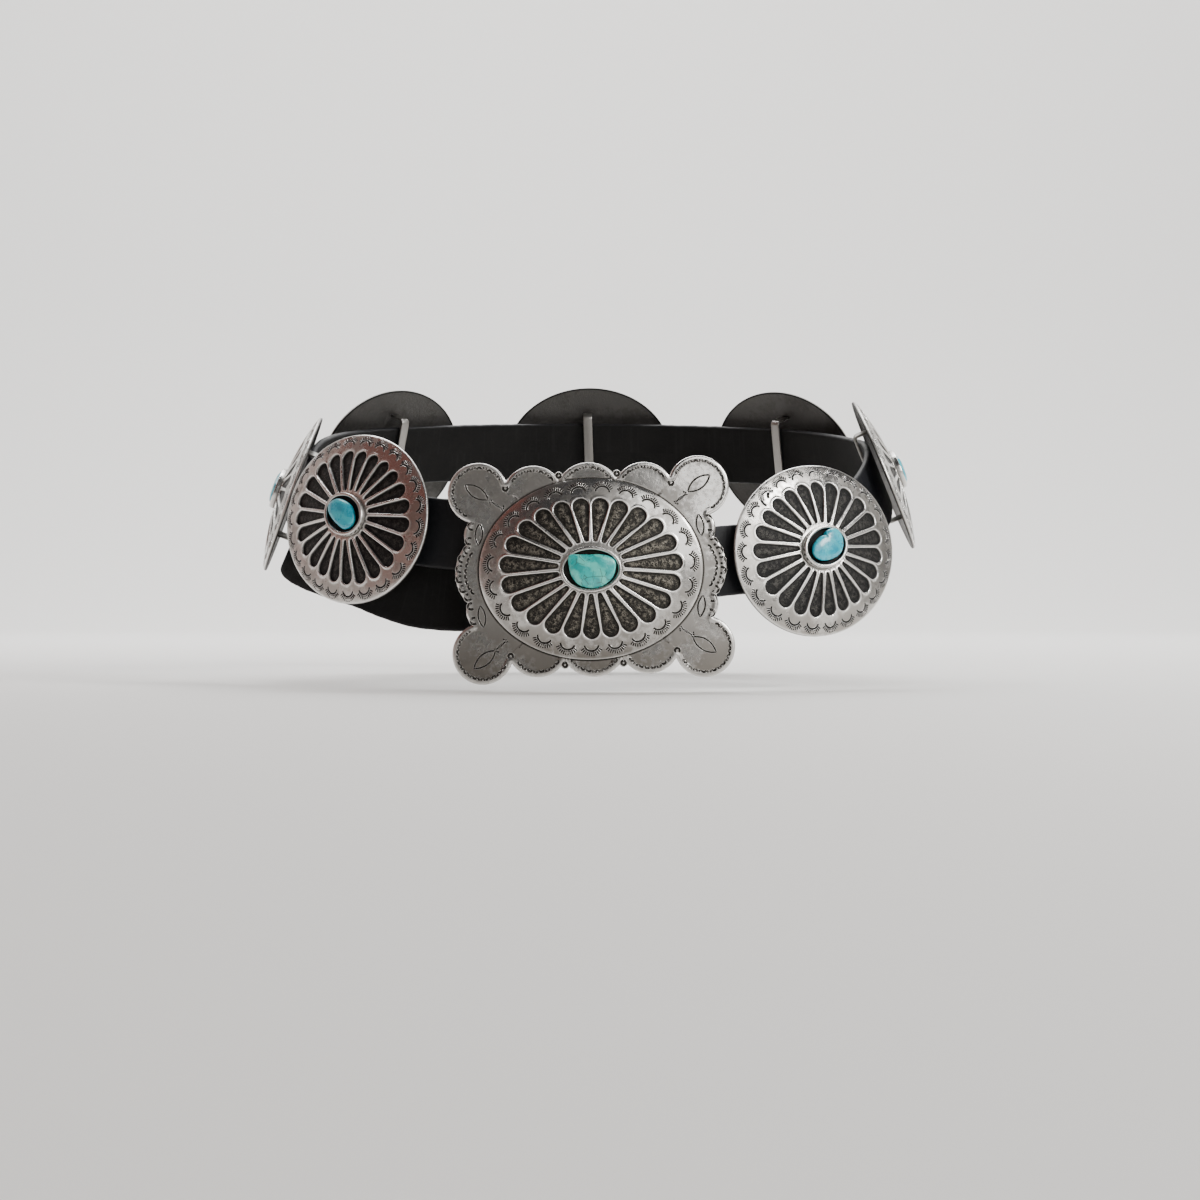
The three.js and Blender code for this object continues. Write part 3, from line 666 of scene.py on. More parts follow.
def bridge_part(low, high, bar, top_low, top_high):
    """A flat wire bent to a U behind a shell, with the strap between the shell and its bar."""
    half = bridge_wire / 2
    bend = 1.7 * mm
    way = [(low - half, top_low)]
    for turn in np.radians(np.linspace(180, 270, 7)):
        way.append((low - half + bend * (1 + math.cos(turn)), bar - half + bend * (1 + math.sin(turn))))
    for turn in np.radians(np.linspace(270, 360, 7)):
        way.append((high + half - bend * (1 - math.cos(turn)), bar - half + bend * (1 + math.sin(turn))))
    way.append((high + half, top_high))
    way = np.array(way)
    ahead = np.gradient(way, axis=0)
    ahead = ahead / np.linalg.norm(ahead, axis=1)[:, None]
    outward = np.stack([ahead[:, 1], -ahead[:, 0]], axis=1)
    corner = 0.3 * mm
    section = []
    for sx, sy, first in ((1, 1, 0), (-1, 1, 90), (-1, -1, 180), (1, -1, 270)):
        for turn in np.radians(np.linspace(first, first + 90, 4)):
            section.append((
                sx * (bridge_breadth / 2 - corner) + corner * math.cos(turn),
                sy * (half - corner) + corner * math.sin(turn),
            ))
    section = np.array(section)
    rings = []
    for at, side in zip(way, outward):
        flat = at + section[:, 1:2] * side
        rings.append(np.stack([section[:, 0], flat[:, 0], flat[:, 1]], axis=1))
    rings.insert(0, np.broadcast_to(rings[0].mean(axis=0), rings[0].shape))
    rings.append(np.broadcast_to(rings[-1].mean(axis=0), rings[-1].shape))
    return ringed_part(rings, 0.35, 0.2, 0.5)


def tree_inputs(tree, rows):
    tree.interface.new_socket("Geometry", in_out="OUTPUT", socket_type="NodeSocketGeometry")
    tree.interface.new_socket("Geometry", in_out="INPUT", socket_type="NodeSocketGeometry")
    for name, kind in rows:
        tree.interface.new_socket(name, in_out="INPUT", socket_type=kind)
    return tree.nodes.new("NodeGroupInput"), tree.nodes.new("NodeGroupOutput")

def in_metal(tree, given, result, geometry):
    """Ends a tree with real geometry in the metal that it is given."""
    real = node(tree, "GeometryNodeRealizeInstances", {"Geometry": geometry})
    coated = {"Geometry": real.outputs[0], "Material": given.outputs["Metal"]}
    made = node(tree, "GeometryNodeSetMaterial", coated)
    tree.links.new(made.outputs[0], result.inputs[0])
    return tree


def struck_line_tree():
    """Turns a drawn line into a struck one: a groove with a lip thrown up along either side."""
    tree = bpy.data.node_groups.new("Struck line", "GeometryNodeTree")
    rows = [("Drawing", "NodeSocketObject"), ("Groove", "NodeSocketObject"), ("Line width", "NodeSocketFloat"),
            ("Lip height", "NodeSocketFloat"), ("Metal", "NodeSocketMaterial")]
    given, result = tree_inputs(tree, rows)
    drawing = node(tree, "GeometryNodeObjectInfo", {"Object": given.outputs["Drawing"]})
    groove = node(tree, "GeometryNodeObjectInfo", {"Object": given.outputs["Groove"]})
    size = node(tree, "ShaderNodeCombineXYZ",
                {0: given.outputs["Line width"], 1: given.outputs["Lip height"], 2: 1.0})
    scaled = {"Geometry": groove.outputs["Geometry"], "Scale": size.outputs[0]}
    profile = node(tree, "GeometryNodeTransform", scaled)
    level = node(tree, "GeometryNodeSetCurveNormal", {"Curve": drawing.outputs["Geometry"]})
    level.mode = "Z_UP"
    swept = node(tree, "GeometryNodeCurveToMesh",
                 {"Curve": level.outputs[0], "Profile Curve": profile.outputs[0]})
    return in_metal(tree, given, result, swept.outputs[0])


def stamp_row_tree():
    """Sets a stamp at even steps along each line of a path, turned with the path."""
    tree = bpy.data.node_groups.new("Row of stamps", "GeometryNodeTree")
    rows = [("Path", "NodeSocketObject"), ("Stamp", "NodeSocketObject"), ("Pitch", "NodeSocketFloat"),
            ("Uneven", "NodeSocketFloat"), ("Seed", "NodeSocketInt"), ("Metal", "NodeSocketMaterial")]
    given, result = tree_inputs(tree, rows)
    path = node(tree, "GeometryNodeObjectInfo", {"Object": given.outputs["Path"]})
    stamp = node(tree, "GeometryNodeObjectInfo", {"Object": given.outputs["Stamp"]})
    length = node(tree, "GeometryNodeSplineLength")
    count = calc(tree, "ROUND", calc(tree, "DIVIDE", length.outputs["Length"], given.outputs["Pitch"]))
    spaced = node(tree, "GeometryNodeResampleCurve", {"Curve": path.outputs["Geometry"], "Count": count})
    tangent = node(tree, "GeometryNodeInputTangent")
    facing = node(tree, "FunctionNodeAlignRotationToVector", {"Vector": tangent.outputs[0]}, axis="X")
    slip = calc(tree, "MULTIPLY", given.outputs["Uneven"], -1.0)
    jitter = node(tree, "FunctionNodeRandomValue", {
        "Seed": given.outputs["Seed"], "Min": slip, "Max": given.outputs["Uneven"]}, data_type="FLOAT")
    shift = node(tree, "ShaderNodeCombineXYZ", {1: float_output(jitter)})
    put = node(tree, "GeometryNodeInstanceOnPoints", {
        "Points": spaced.outputs[0], "Instance": stamp.outputs["Geometry"], "Rotation": facing.outputs[0]})
    shifts = {"Instances": put.outputs[0], "Translation": shift.outputs[0]}
    slid = node(tree, "GeometryNodeTranslateInstances", shifts)
    return in_metal(tree, given, result, slid.outputs[0])


def float_output(made):
    return next(socket for socket in made.outputs if socket.enabled and socket.type == "VALUE")


def grown(tree, name, values):
    """The mesh that a tree of geometry nodes gives for the named inputs."""
    host = bpy.data.objects.new(name, bpy.data.meshes.new(name))
    bpy.context.scene.collection.objects.link(host)
    modifier = host.modifiers.new(name, "NODES")
    modifier.node_group = tree
    for item in tree.interface.items_tree:
        if item.item_type == "SOCKET" and item.in_out == "INPUT" and item.name in values:
            modifier[item.identifier] = values[item.name]
    mesh = plain_copy(host)
    bpy.data.objects.remove(host)
    return mesh


def drawing(name, lines, closed=False):
    """A curve object with one straight-cornered line for each list of flat points."""
    curve = bpy.data.curves.new(name, "CURVE")
    curve.dimensions = "3D"
    for line in lines:
        line = np.asarray(line)
        spline = curve.splines.new("POLY")
        spline.points.add(len(line) - 1)
        level = np.zeros((len(line), 2))
        level[:, 1] = 1
        values = np.concatenate([line, level], axis=1)
        spline.points.foreach_set("co", values.astype(np.float32).reshape(-1))
        spline.use_cyclic_u = closed
    made = bpy.data.objects.new(name, curve)
    bpy.context.scene.collection.objects.link(made)
    return made


def arc(width, height, first, last, count, middle=(0, 0)):
    turns = np.radians(np.linspace(first, last, count))
    return np.stack([middle[0] + width / 2 * np.cos(turns), middle[1] + height / 2 * np.sin(turns)], axis=1)


groove_outline = drawing("groove_outline", [[
    (-1.0, 0.6), (-0.93, -0.7), (-0.86, -1.0), (-0.78, -0.5), (-0.73, -0.12), (0.73, -0.12),
    (0.78, -0.5), (0.86, -1.0), (0.93, -0.7), (1.0, 0.6),
]])
struck_line = struck_line_tree()
stamp_row = stamp_row_tree()


def silver_material(name, bright, plain, tarnish_and_shade_colour, oxide, rubbed, tarnish_share):
    """Worn oxidised silver: bright on its ridges, tarnished in patches, black in its flutes and stamps."""
    material, tree, shader = new_material(name)
    at = node(tree, "ShaderNodeTexCoord").outputs["Object"]
    recess = node(tree, "ShaderNodeAttribute", attribute_name="recess").outputs["Fac"]
    wear = node(tree, "ShaderNodeAttribute", attribute_name="wear").outputs["Fac"]
    seam = node(tree, "ShaderNodeAttribute", attribute_name="seam").outputs["Fac"]
    broad = {"Vector": at, "Patch scale": 75.0, "Speck scale": 520.0, "Speck share": 0.35}
    small = {"Vector": at, "Patch scale": 620.0, "Speck scale": 2300.0, "Speck share": 0.5}
    patches = filled_group(tree, mottling, broad).outputs[0]
    specks = filled_group(tree, mottling, small).outputs[0]
    scratches = filled_group(tree, fine_scratches, {"Vector": at, "Scale": 800.0}).outputs[0]

    # Colour: tarnish in patches and at seams, painted shade towards the bottom in place of a dark reflection,
    # rubbed off the ridges, and speckled oxide
    tarnish_and_painted_shade = calc(tree, "MULTIPLY", ranged(tree, patches, 0.3, 0.8), tarnish_share)
    level = node(tree, "ShaderNodeSeparateXYZ", {0: at}).outputs["Z"]
    patchy = ranged(tree, patches, 0.0, 0.6, 0.35, 0.95)
    # Painted shade: in patches, the metal is darkened towards the bottom of the belt in place of the dark
    # reflection there, not real tarnish
    painted_shade_low_down = calc(tree, "MULTIPLY", ranged(tree, level, 0.012, -0.044), patchy)
    tarnish_and_painted_shade = calc(tree, "MAXIMUM", tarnish_and_painted_shade, calc(tree, "MAXIMUM", seam, painted_shade_low_down))
    metal = blend_colours(tree, tarnish_and_painted_shade, plain, tarnish_and_shade_colour)
    metal = blend_colours(tree, calc(tree, "MULTIPLY", wear, 0.9), metal, bright)
    floor_wear = calc(tree, "MULTIPLY_ADD", wear, 0.85, 0.05)
    worn_floor = calc(tree, "MULTIPLY", ranged(tree, specks, 0.35, 0.85), floor_wear)
    floor = blend_colours(tree, worn_floor, oxide, rubbed)
    tree.links.new(blend_colours(tree, recess, metal, floor), shader.inputs["Base Color"])
    polish = calc(tree, "MULTIPLY_ADD", patches, 0.15, 0.155)
    polish = calc(tree, "MULTIPLY_ADD", tarnish_and_painted_shade, 0.14, polish)
    polish = calc(tree, "MULTIPLY_ADD", scratches, 0.05, polish)
    gloss = node(tree, "ShaderNodeMix", {0: recess, 2: polish, 3: 0.46}).outputs[0]
    tree.links.new(gloss, shader.inputs["Roughness"])
    tree.links.new(ranged(tree, recess, 0.0, 1.0, 1.0, 0.72), shader.inputs["Metallic"])

    # Relief: hammer marks and scratches on the metal, and a pitted ground in the flutes
    dents = node(tree, "ShaderNodeTexNoise", {"Vector": at, "Scale": 150.0, "Detail": 2.0}).outputs[0]
    pits = calc(tree, "MULTIPLY", specks, calc(tree, "MULTIPLY_ADD", recess, 1.0, 0.035))
    height = calc(tree, "MULTIPLY_ADD", dents, 0.55, pits)
    height = calc(tree, "SUBTRACT", height, calc(tree, "MULTIPLY", scratches, 0.06))
    bump = node(tree, "ShaderNodeBump", {"Height": height, "Strength": 0.5, "Distance": 0.00035})
    tree.links.new(bump.outputs[0], shader.inputs["Normal"])
    return material


# The tarnish colour here is also the colour of the painted shade that darkens the metal towards the bottom
buckle_silver = silver_material(
    "oxidised_silver", bright=(0.9, 0.88, 0.85, 1), plain=(0.56, 0.545, 0.525, 1),
    tarnish_and_shade_colour=(0.185, 0.168, 0.147, 1), oxide=(0.016, 0.0145, 0.0125, 1), rubbed=(0.22, 0.2, 0.165, 1),
    tarnish_share=0.6)


def struck(name, strokes, lip):
    """A stamp as an object, flat at the origin, from strokes of lines and their width."""
    whole = bmesh.new()
    for lines, width in strokes:
        drawn = drawing(name + "_drawing", lines)
        values = {"Drawing": drawn, "Groove": groove_outline, "Line width": width, "Lip height": lip}
        mesh = grown(struck_line, name, {**values, "Metal": buckle_silver})
        whole.from_mesh(mesh)
        bpy.data.objects.remove(drawn)
        bpy.data.meshes.remove(mesh)
    joined = bpy.data.meshes.new(name)
    whole.to_mesh(joined)
    whole.free()
    stamp = bpy.data.objects.new(name, joined)
    bpy.context.scene.collection.objects.link(stamp)
    return stamp


def stamped(name, lines, stamp, pitch, seed, uneven=0.12 * mm, closed=False):
    """A row of one stamp along each of the lines, as flat points and faces."""
    path = drawing(name + "_path", lines, closed)
    values = {"Path": path, "Stamp": stamp, "Pitch": pitch, "Uneven": uneven, "Seed": seed}
    mesh = grown(stamp_row, name, {**values, "Metal": buckle_silver})
    bpy.data.objects.remove(path)
    return flat_marks(mesh)


def flat_marks(mesh):
    """Points, faces and marks of struck lines: the groove is black and its lips are worn bright."""
    points = np.zeros(len(mesh.vertices) * 3, dtype=np.float32)
    mesh.vertices.foreach_get("co", points)
    points = points.reshape(-1, 3).astype(float)
    faces = np.array([list(face.vertices) for face in mesh.polygons])
    corners = points[faces]
    facing = np.cross(corners[:, 1] - corners[:, 0], corners[:, 2] - corners[:, 0])[:, 2]
    faces[facing < 0] = faces[facing < 0][:, ::-1]
    top = points[:, 2].max()
    low = points[:, 2] / top
    recess = (low > 0.05) & (low < 0.3)
    marks = {"recess": recess.astype(float), "wear": (low > 0.6).astype(float), "seam": np.zeros(len(points))}
    return points, faces, marks


def laid_on(part, surface):
    """Lifts flat struck lines on to a surface, given as a function of flat points."""
    points, faces, marks = part
    lifted = points.copy()
    lifted[:, 2] = points[:, 2] + surface(points[:, :2])
    return lifted, faces, marks


# Stamps, as a silversmith's punches leave them
def sunburst_strokes(width, height, rays, reach):
    """Half a sun: a bow with rays on its outer side."""
    bow = arc(width, 2 * height, 172, 8, 15)
    lines = []
    for turn in np.radians(np.linspace(151, 29, rays)):
        root = np.array([width / 2 * math.cos(turn), height * math.sin(turn)])
        away = unit(np.array([math.cos(turn) * height, math.sin(turn) * width / 2]))
        lines.append([root + away * 0.36 * mm, root + away * reach])
    return [([bow], 0.52 * mm), (lines, 0.4 * mm)]


sunburst = struck("sunburst", sunburst_strokes(5.7 * mm, 2.6 * mm, 11, 2.0 * mm), 0.07 * mm)
ripple = struck("ripple", [([arc(1.9 * mm, 1.5 * mm, 175, 5, 7)], 0.62 * mm)], 0.09 * mm)
horseshoe = struck("horseshoe", [([arc(2.5 * mm, 2.8 * mm, 205, -25, 13)], 0.66 * mm)], 0.12 * mm)


def scallop_arc(start, end, height, count):
    """Points of a scallop's arc from one notch to the next, clockwise round the plate."""
    chord = end - start
    length = np.linalg.norm(chord)
    sag = length * height
    radius = (length**2 / 4 + sag**2) / (2 * sag)
    outward = unit(np.array([-chord[1], chord[0]]))
    centre = (start + end) / 2 + outward * (sag - radius)
    first = math.atan2(*(start - centre)[::-1])
    sweep = (first - math.atan2(*(end - centre)[::-1])) % (2 * math.pi)
    turns = first - sweep * np.linspace(0, 1, count)
    line = np.stack([centre[0] + radius * np.cos(turns), centre[1] + radius * np.sin(turns)], axis=1)
    return line, centre, radius


def plate_scallops():
    """The sixteen scallops, clockwise from the first past the middle of the top, with their heights."""
    half = np.array([plate_width / 2, plate_height / 2])
    back = plate_notches[::-1]
    stops = []
    for sx, sy, rows, key in ((1, 1, plate_notches, "after"), (1, -1, back, "before"),
                              (-1, -1, plate_notches, "after"), (-1, 1, back, "before")):
        for row in rows:
            stops.append((np.array([sx * row["across"], sy * row["up"]]) * half, row[key]))
    return [(stops[i][0], stops[(i + 1) % 16][0], stops[i][1]) for i in range(16)]


plate_border = [(0.0, 0.0), (0.35, 0.1), (0.9, 0.22), (1.4, 0.23), (1.9, 0.14), (2.4, 0.03), (2.9, 0.0)]


def plate_outline():
    """Points of the edge and their inward directions, which turn in steps round each notch."""
    points = []
    inward = []
    rows = []
    for start, end, height in plate_scallops():
        line, centre, _ = scallop_arc(start, end, height, 65 if height > 0.5 else 29)
        rows.append((line, np.array([unit(centre - point) for point in line])))
    for i, (line, ways) in enumerate(rows):
        first = math.atan2(*rows[i - 1][1][-1][::-1])
        swing = (math.atan2(*ways[0][::-1]) - first + math.pi) % (2 * math.pi) - math.pi
        turns = first + swing * np.linspace(0, 1, 9)[1:-1]
        points += [line[0]] * len(turns) + list(line)
        inward += [np.array([math.cos(turn), math.sin(turn)]) for turn in turns] + list(ways)
    return np.array(points), np.array(inward)


buckle_edge, edge_inward = plate_outline()


def plate_part():
    """The plate: a rounded edge, a low raised border inside it, and flat on to the dome and its window."""
    edge = buckle_edge
    inward = edge_inward
    inside = edge + inward * 2.9 * mm
    turns = np.arctan2(inside[:, 1] / plate_height, inside[:, 0] / plate_width)
    ring_shares = (1.05, 1.022, 1.01, 0.99, 0.93)
    beyond, *windows = [oval(dome_width, dome_height, turns, share) for share in ring_shares]
    window = windows[-1]
    top = plate_thickness
    profile = [(0.35, 0.0), (0.1, 0.1), (0.0, 0.4), (0.0, 1.2), (0.1, 1.55), (0.35, 1.86)]
    profile += [(inset, 1.8 + rise) for inset, rise in plate_border[2:]]
    rings = [np.concatenate([edge + inward * inset * mm, np.full((len(edge), 1), level * mm)], axis=1)
             for inset, level in profile]
    last = rings[-1][:, :2]
    first = rings[0][:, :2]
    for share in (0.15, 0.4, 0.7, 1.0):
        rings.append(np.concatenate([last + (beyond - last) * share, np.full((len(edge), 1), top)], axis=1))
    for flat in windows:
        rings.append(np.concatenate([flat, np.full((len(edge), 1), top)], axis=1))
    for share in (1.0, 0.6, 0.2, 0.0):
        rings.append(np.concatenate([first + (window - first) * share, np.zeros((len(edge), 1))], axis=1))
    rings = np.array(rings)
    share = np.hypot(rings[..., 0] / (dome_width / 2), rings[..., 1] / (dome_height / 2))
    points, faces, marks = ringed_part(rings, 0.0, 0.0, 0.0)
    wear = [0, 0.1, 0.3, 0.4, 0.7, 0.8, 0.5, 0.3, 0.1] + [0.0] * (len(rings) - 9)
    marks["wear"] = np.repeat(wear, len(edge))
    marks["seam"] = np.exp(-(((share - 1.0) / 0.025) ** 2)).reshape(-1)
    front = len(rings) - 4
    recess = np.repeat([0.0] * front + [0.4] * 4, len(edge))
    marks["recess"] = np.maximum(recess, (share < 1.015).reshape(-1) * 0.95)
    return points, faces, marks


def plate_level(points):
    """Height of the plate's front over flat points, with its raised border."""
    away = np.array([np.linalg.norm(buckle_edge - point, axis=1).min() for point in points])
    insets, rises = np.array(plate_border).T
    return plate_thickness + np.interp(away / mm, insets, rises) * mm


def turned(lines, degrees, middle):
    turn = math.radians(degrees)
    matrix = np.array([[math.cos(turn), math.sin(turn)], [-math.sin(turn), math.cos(turn)]])
    return [np.asarray(line) @ matrix + np.array(middle) * mm for line in lines]


def eye_lines(length, height):
    radius = (length**2 / 4 + height**2 / 4) / height
    reach = math.degrees(math.asin(length / 2 / radius))
    upper = arc(2 * radius, 2 * radius, 90 + reach, 90 - reach, 13, (0, height / 2 - radius))
    return [upper, upper * [1, -1]]


def fishtail_lines():
    """Two crossing bows with a barb at either end."""
    bow = arc(6.6 * mm, 2.4 * mm, 160, 20, 9, (0, -1.0 * mm))
    barbs = [[(2.3 * mm, 1.5 * mm), (3.2 * mm, 0.2 * mm)], [(-2.2 * mm, -1.4 * mm), (-3.2 * mm, 0)]]
    return [bow, bow * [1, -1]] + barbs


# Single stamps on the plate: an eye and a fishtail in each lobe, and a tall eye beside each small scallop
single_lines = []
for across, up, slope, tail_across, tail_up in (
        (44.4, 33.2, 36, 36.9, 27.4), (-44.8, 32.6, 145, -36.8, 27.0),
        (-43.6, -34.6, 218, -36.9, -29.2), (44.2, -31.6, -35, 37.3, -26.2)):
    single_lines += turned(eye_lines(11 * mm, 4.3 * mm), slope, (across, up))
    single_lines += turned(fishtail_lines(), slope, (tail_across, tail_up))
for across, up, slope in ((44.3, 16.4, 97), (43.6, -16.2, 80), (-44.4, 15.6, 84), (-44.2, -17.4, 97)):
    single_lines += turned(eye_lines(8.6 * mm, 2.9 * mm), slope, (across, up))
singles = struck("single_stamps", [(single_lines, 0.44 * mm)], 0.08 * mm)

# Rows along the scallops: rippled lines inside every edge but the sides', and horseshoes along the sides
ripple_paths = []
side_paths = []
inner_paths = []
for start, end, height in plate_scallops():
    points, centre, radius = scallop_arc(start, end, height, 33)
    on_side = abs(start[0] - end[0]) < 3 * mm
    inset = 1.9 if on_side else 2.6
    shrunk = centre + (points - centre) * (1 - inset * mm / radius)
    if on_side:
        side_paths.append(shrunk[2:-2])
        if height == 0.2:
            inner_paths.append((centre + (points - centre) * (1 - 4.7 * mm / radius))[3:-3])
    else:
        trim = 2 if height > 0.5 else 3
        ripple_paths.append(shrunk[trim:-trim])

# A small round boss in each notch beside the middle scallops, struck with a ring, and a horseshoe in
# each notch beside a lobe
boss_radius = 1.6 * mm
boss_top = plate_thickness + 0.14 * mm
boss_middles = []
notch_arcs = []
first_notch = plate_notches[0]
for sx in (-1, 1):
    for sy in (-1, 1):
        notch = np.array([first_notch["across"] * plate_width, first_notch["up"] * plate_height]) / 2
        boss_middles.append((notch + [0, 1.5 * mm]) * [sx, sy])
        opening = 90 * sy
        bowl = arc(1.8 * mm, 1.8 * mm, opening + 40, opening + 320, 13)
        notch_arcs.append(bowl + np.array([sx * 33.2, sy * 33.6]) * mm)
notches = struck("notch_stamps", [(notch_arcs, 0.66 * mm)], 0.1 * mm)
boss_arcs = [arc(1.7 * mm, 1.7 * mm, 95, 445, 21, middle) for middle in boss_middles]
boss_rings = struck("boss_rings", [(boss_arcs, 0.62 * mm)], 0.09 * mm)


def boss_part(middle):
    turns = np.linspace(0, 2 * math.pi, 33)[:-1]
    rows = [
        (0.0, 0.3 * mm), (boss_radius - 0.15 * mm, 0.3 * mm), (boss_radius, 0.5 * mm),
        (boss_radius, boss_top - 0.4 * mm), (boss_radius - 0.1 * mm, boss_top - 0.1 * mm),
        (boss_radius - 0.32 * mm, boss_top), (0.0, boss_top),
    ]
    rings = [np.stack([middle[0] + r * np.cos(turns), middle[1] + r * np.sin(turns), np.full(32, z)], axis=1)
             for r, z in rows]
    return ringed_part(rings, [0.4, 0.4, 0.4, 0, 0, 0, 0], [0, 0, 0, 0.3, 0.8, 0.6, 0.4], 0.0)


buckle_shell = {
    "width": dome_width, "height": dome_height, "rise": dome_rise, "wall": dome_wall, "petals": 2,
    "crown": 0.272, "band": 0.86, "flute_start": 0.285, "flute_margin": 8.0 * mm, "pitch": 11.1 * mm,
}


def sunburst_ring(shell, inset, seed):
    """The row of half sunbursts round a dome's band, one over each flute."""
    borders = even_turns(shell["width"], shell["height"], petal_count, shell["petals"] - 180 / petal_count)
    first = (borders[0] + borders[1]) / 2
    turns = first - np.linspace(0, 2 * math.pi, 361)[:-1]
    path = oval(shell["width"] - 2 * inset, shell["height"] - 2 * inset, turns)
    way = np.linalg.norm(np.roll(path, -1, axis=0) - path, axis=1).sum()
    return stamped("sunburst_ring", [path], sunburst, way / petal_count, seed, closed=True)


def bent(points):
    """The plate and its dome are bowed a little round the body."""
    bowed = points.copy()
    bowed[:, 2] -= points[:, 0] ** 2 / (2 * bend_radius)
    return bowed


def buckle_frame():
    lean = math.radians(front_lean)
    roll = math.radians(buckle_roll)
    out = np.array([0, -math.cos(lean), math.sin(lean)])
    level = np.array([1.0, 0, 0])
    along = level * math.cos(roll) + np.cross(out, level) * math.sin(roll)
    matrix = np.eye(4)
    matrix[:3, 0] = along
    matrix[:3, 1] = np.cross(out, along)
    matrix[:3, 2] = out
    matrix[:3, 3] = np.array([0, -loop_half_depth, 0]) + out * (strap_thickness / 2 + buckle_stand_off)
    return matrix


def buckle_underside(across, up):
    share = math.hypot(across / (dome_width / 2), up / (dome_height / 2))
    flat = dome_seat + dome_level(share, dome_rise - dome_wall, 0) if share < 0.92 else 0
    return flat - across**2 / (2 * bend_radius)


def level_in_buckle(matrix, side, grip):
    """How far a leg or post goes from the strap before it has gone into the buckle by grip."""
    level = strap_thickness
    for _ in range(6):
        at = placed(np.array([0, side, level]), matrix)
        level += buckle_underside(at[0], at[1]) + grip - at[2]
    return level


def post_part(to_buckle):
    top = level_in_buckle(to_buckle, 0, bridge_grip)
    end = -strap_thickness / 2 - post_proud
    turns = np.linspace(0, 2 * math.pi, 25)[:-1]
    rows = [
        (0, end), (1.7 * mm, end), (2.05 * mm, end + 0.12 * mm), (post_radius, end + 0.4 * mm),
        (post_radius, top), (0, top),
    ]
    rings = [np.stack([r * np.cos(turns), r * np.sin(turns), np.full(24, z)], axis=1) for r, z in rows]
    return ringed_part(rings, 0.2, 0.3, 0.4)


def moved(part, matrix):
    return placed(part[0], matrix), part[1], part[2]


def raised(part, height):
    return part[0] + [0, 0, height], part[1], part[2]


def shifted(part, drop):
    return part[0] - [0, drop, 0], part[1], part[2]


def metal_mesh(name, closed_parts, struck_parts):
    """One mesh of closed parts and of the struck lines that lie on them."""
    whole = bmesh.new()
    for part in closed_parts:
        piece = closed_up(mesh_from(name + "_part", *part))
        whole.from_mesh(piece)
        bpy.data.meshes.remove(piece)
    for part in struck_parts:
        piece = mesh_from(name + "_part", *part)
        whole.from_mesh(piece)
        bpy.data.meshes.remove(piece)
    mesh = bpy.data.meshes.new(name)
    whole.to_mesh(mesh)
    whole.free()
    return mesh


def dome_front(points):
    return dome_seat + top_level(buckle_shell, points)


buckle_matrix = buckle_frame()
buckle_crown = dome_seat + float(dome_level(0.31, dome_rise, dome_wall))
front_parts = [
    plate_part(),
    raised(fluted_dome(buckle_shell), dome_seat),
    shifted(bezel_part(buckle_ring_width, buckle_ring_height, buckle_crown, 5), buckle_ring_drop),
]
line_parts = [
    laid_on(sunburst_ring(buckle_shell, 5.9 * mm, 3), dome_front),
    laid_on(stamped("rippled_borders", ripple_paths, ripple, 1.95 * mm, 11), plate_level),
    laid_on(stamped("side_horseshoes", side_paths, horseshoe, 3.6 * mm, 12), plate_level),
    laid_on(stamped("inner_ripples", inner_paths, ripple, 1.95 * mm, 13), plate_level),
    laid_on(flat_marks(singles.data), plate_level),
    laid_on(flat_marks(notches.data), plate_level),
    laid_on(flat_marks(boss_rings.data), lambda points: boss_top),
]
front_parts += [boss_part(middle) for middle in boss_middles]
front_parts = [(placed(bent(points), buckle_matrix), faces, marks) for points, faces, marks in front_parts]
line_parts = [(placed(bent(points), buckle_matrix), faces, marks) for points, faces, marks in line_parts]
for place in bridge_places:
    to_buckle = np.linalg.inv(buckle_matrix) @ loop_frame(place)
    reach = strap_width / 2 + strap_slack
    leg = reach + bridge_wire / 2
    tops = [level_in_buckle(to_buckle, side, bridge_grip) for side in (-leg, leg)]
    bridge = bridge_part(-reach, reach, -strap_thickness / 2 - bar_play, *tops)
    front_parts.append(moved(bridge, loop_frame(place)))
for place in post_places:
    to_buckle = np.linalg.inv(buckle_matrix) @ loop_frame(place)
    front_parts.append(moved(post_part(to_buckle), loop_frame(place)))
buckle = shown("silver_buckle", metal_mesh("silver_buckle", front_parts, line_parts), buckle_silver)
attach(buckle, "root")
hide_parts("buckle")


# The buckle's stone: a tumbled turquoise nugget with one flat side, polished, standing in the bezel's cup.
# Greenish blue, with paler bands and a few dark flecks of its mother rock.
ring_proud = 2.6 * mm
ring_pocket = 1.9 * mm
stone_proud = 1.5 * mm
nugget_levels = [
    (0.0, 0.93), (0.08, 0.965), (0.25, 0.99), (0.45, 1.0), (0.6, 0.975), (0.72, 0.92), (0.82, 0.83), (0.9, 0.7),
    (0.95, 0.56), (0.985, 0.38), (1.0, 0.2), (1.003, 0.08),
]


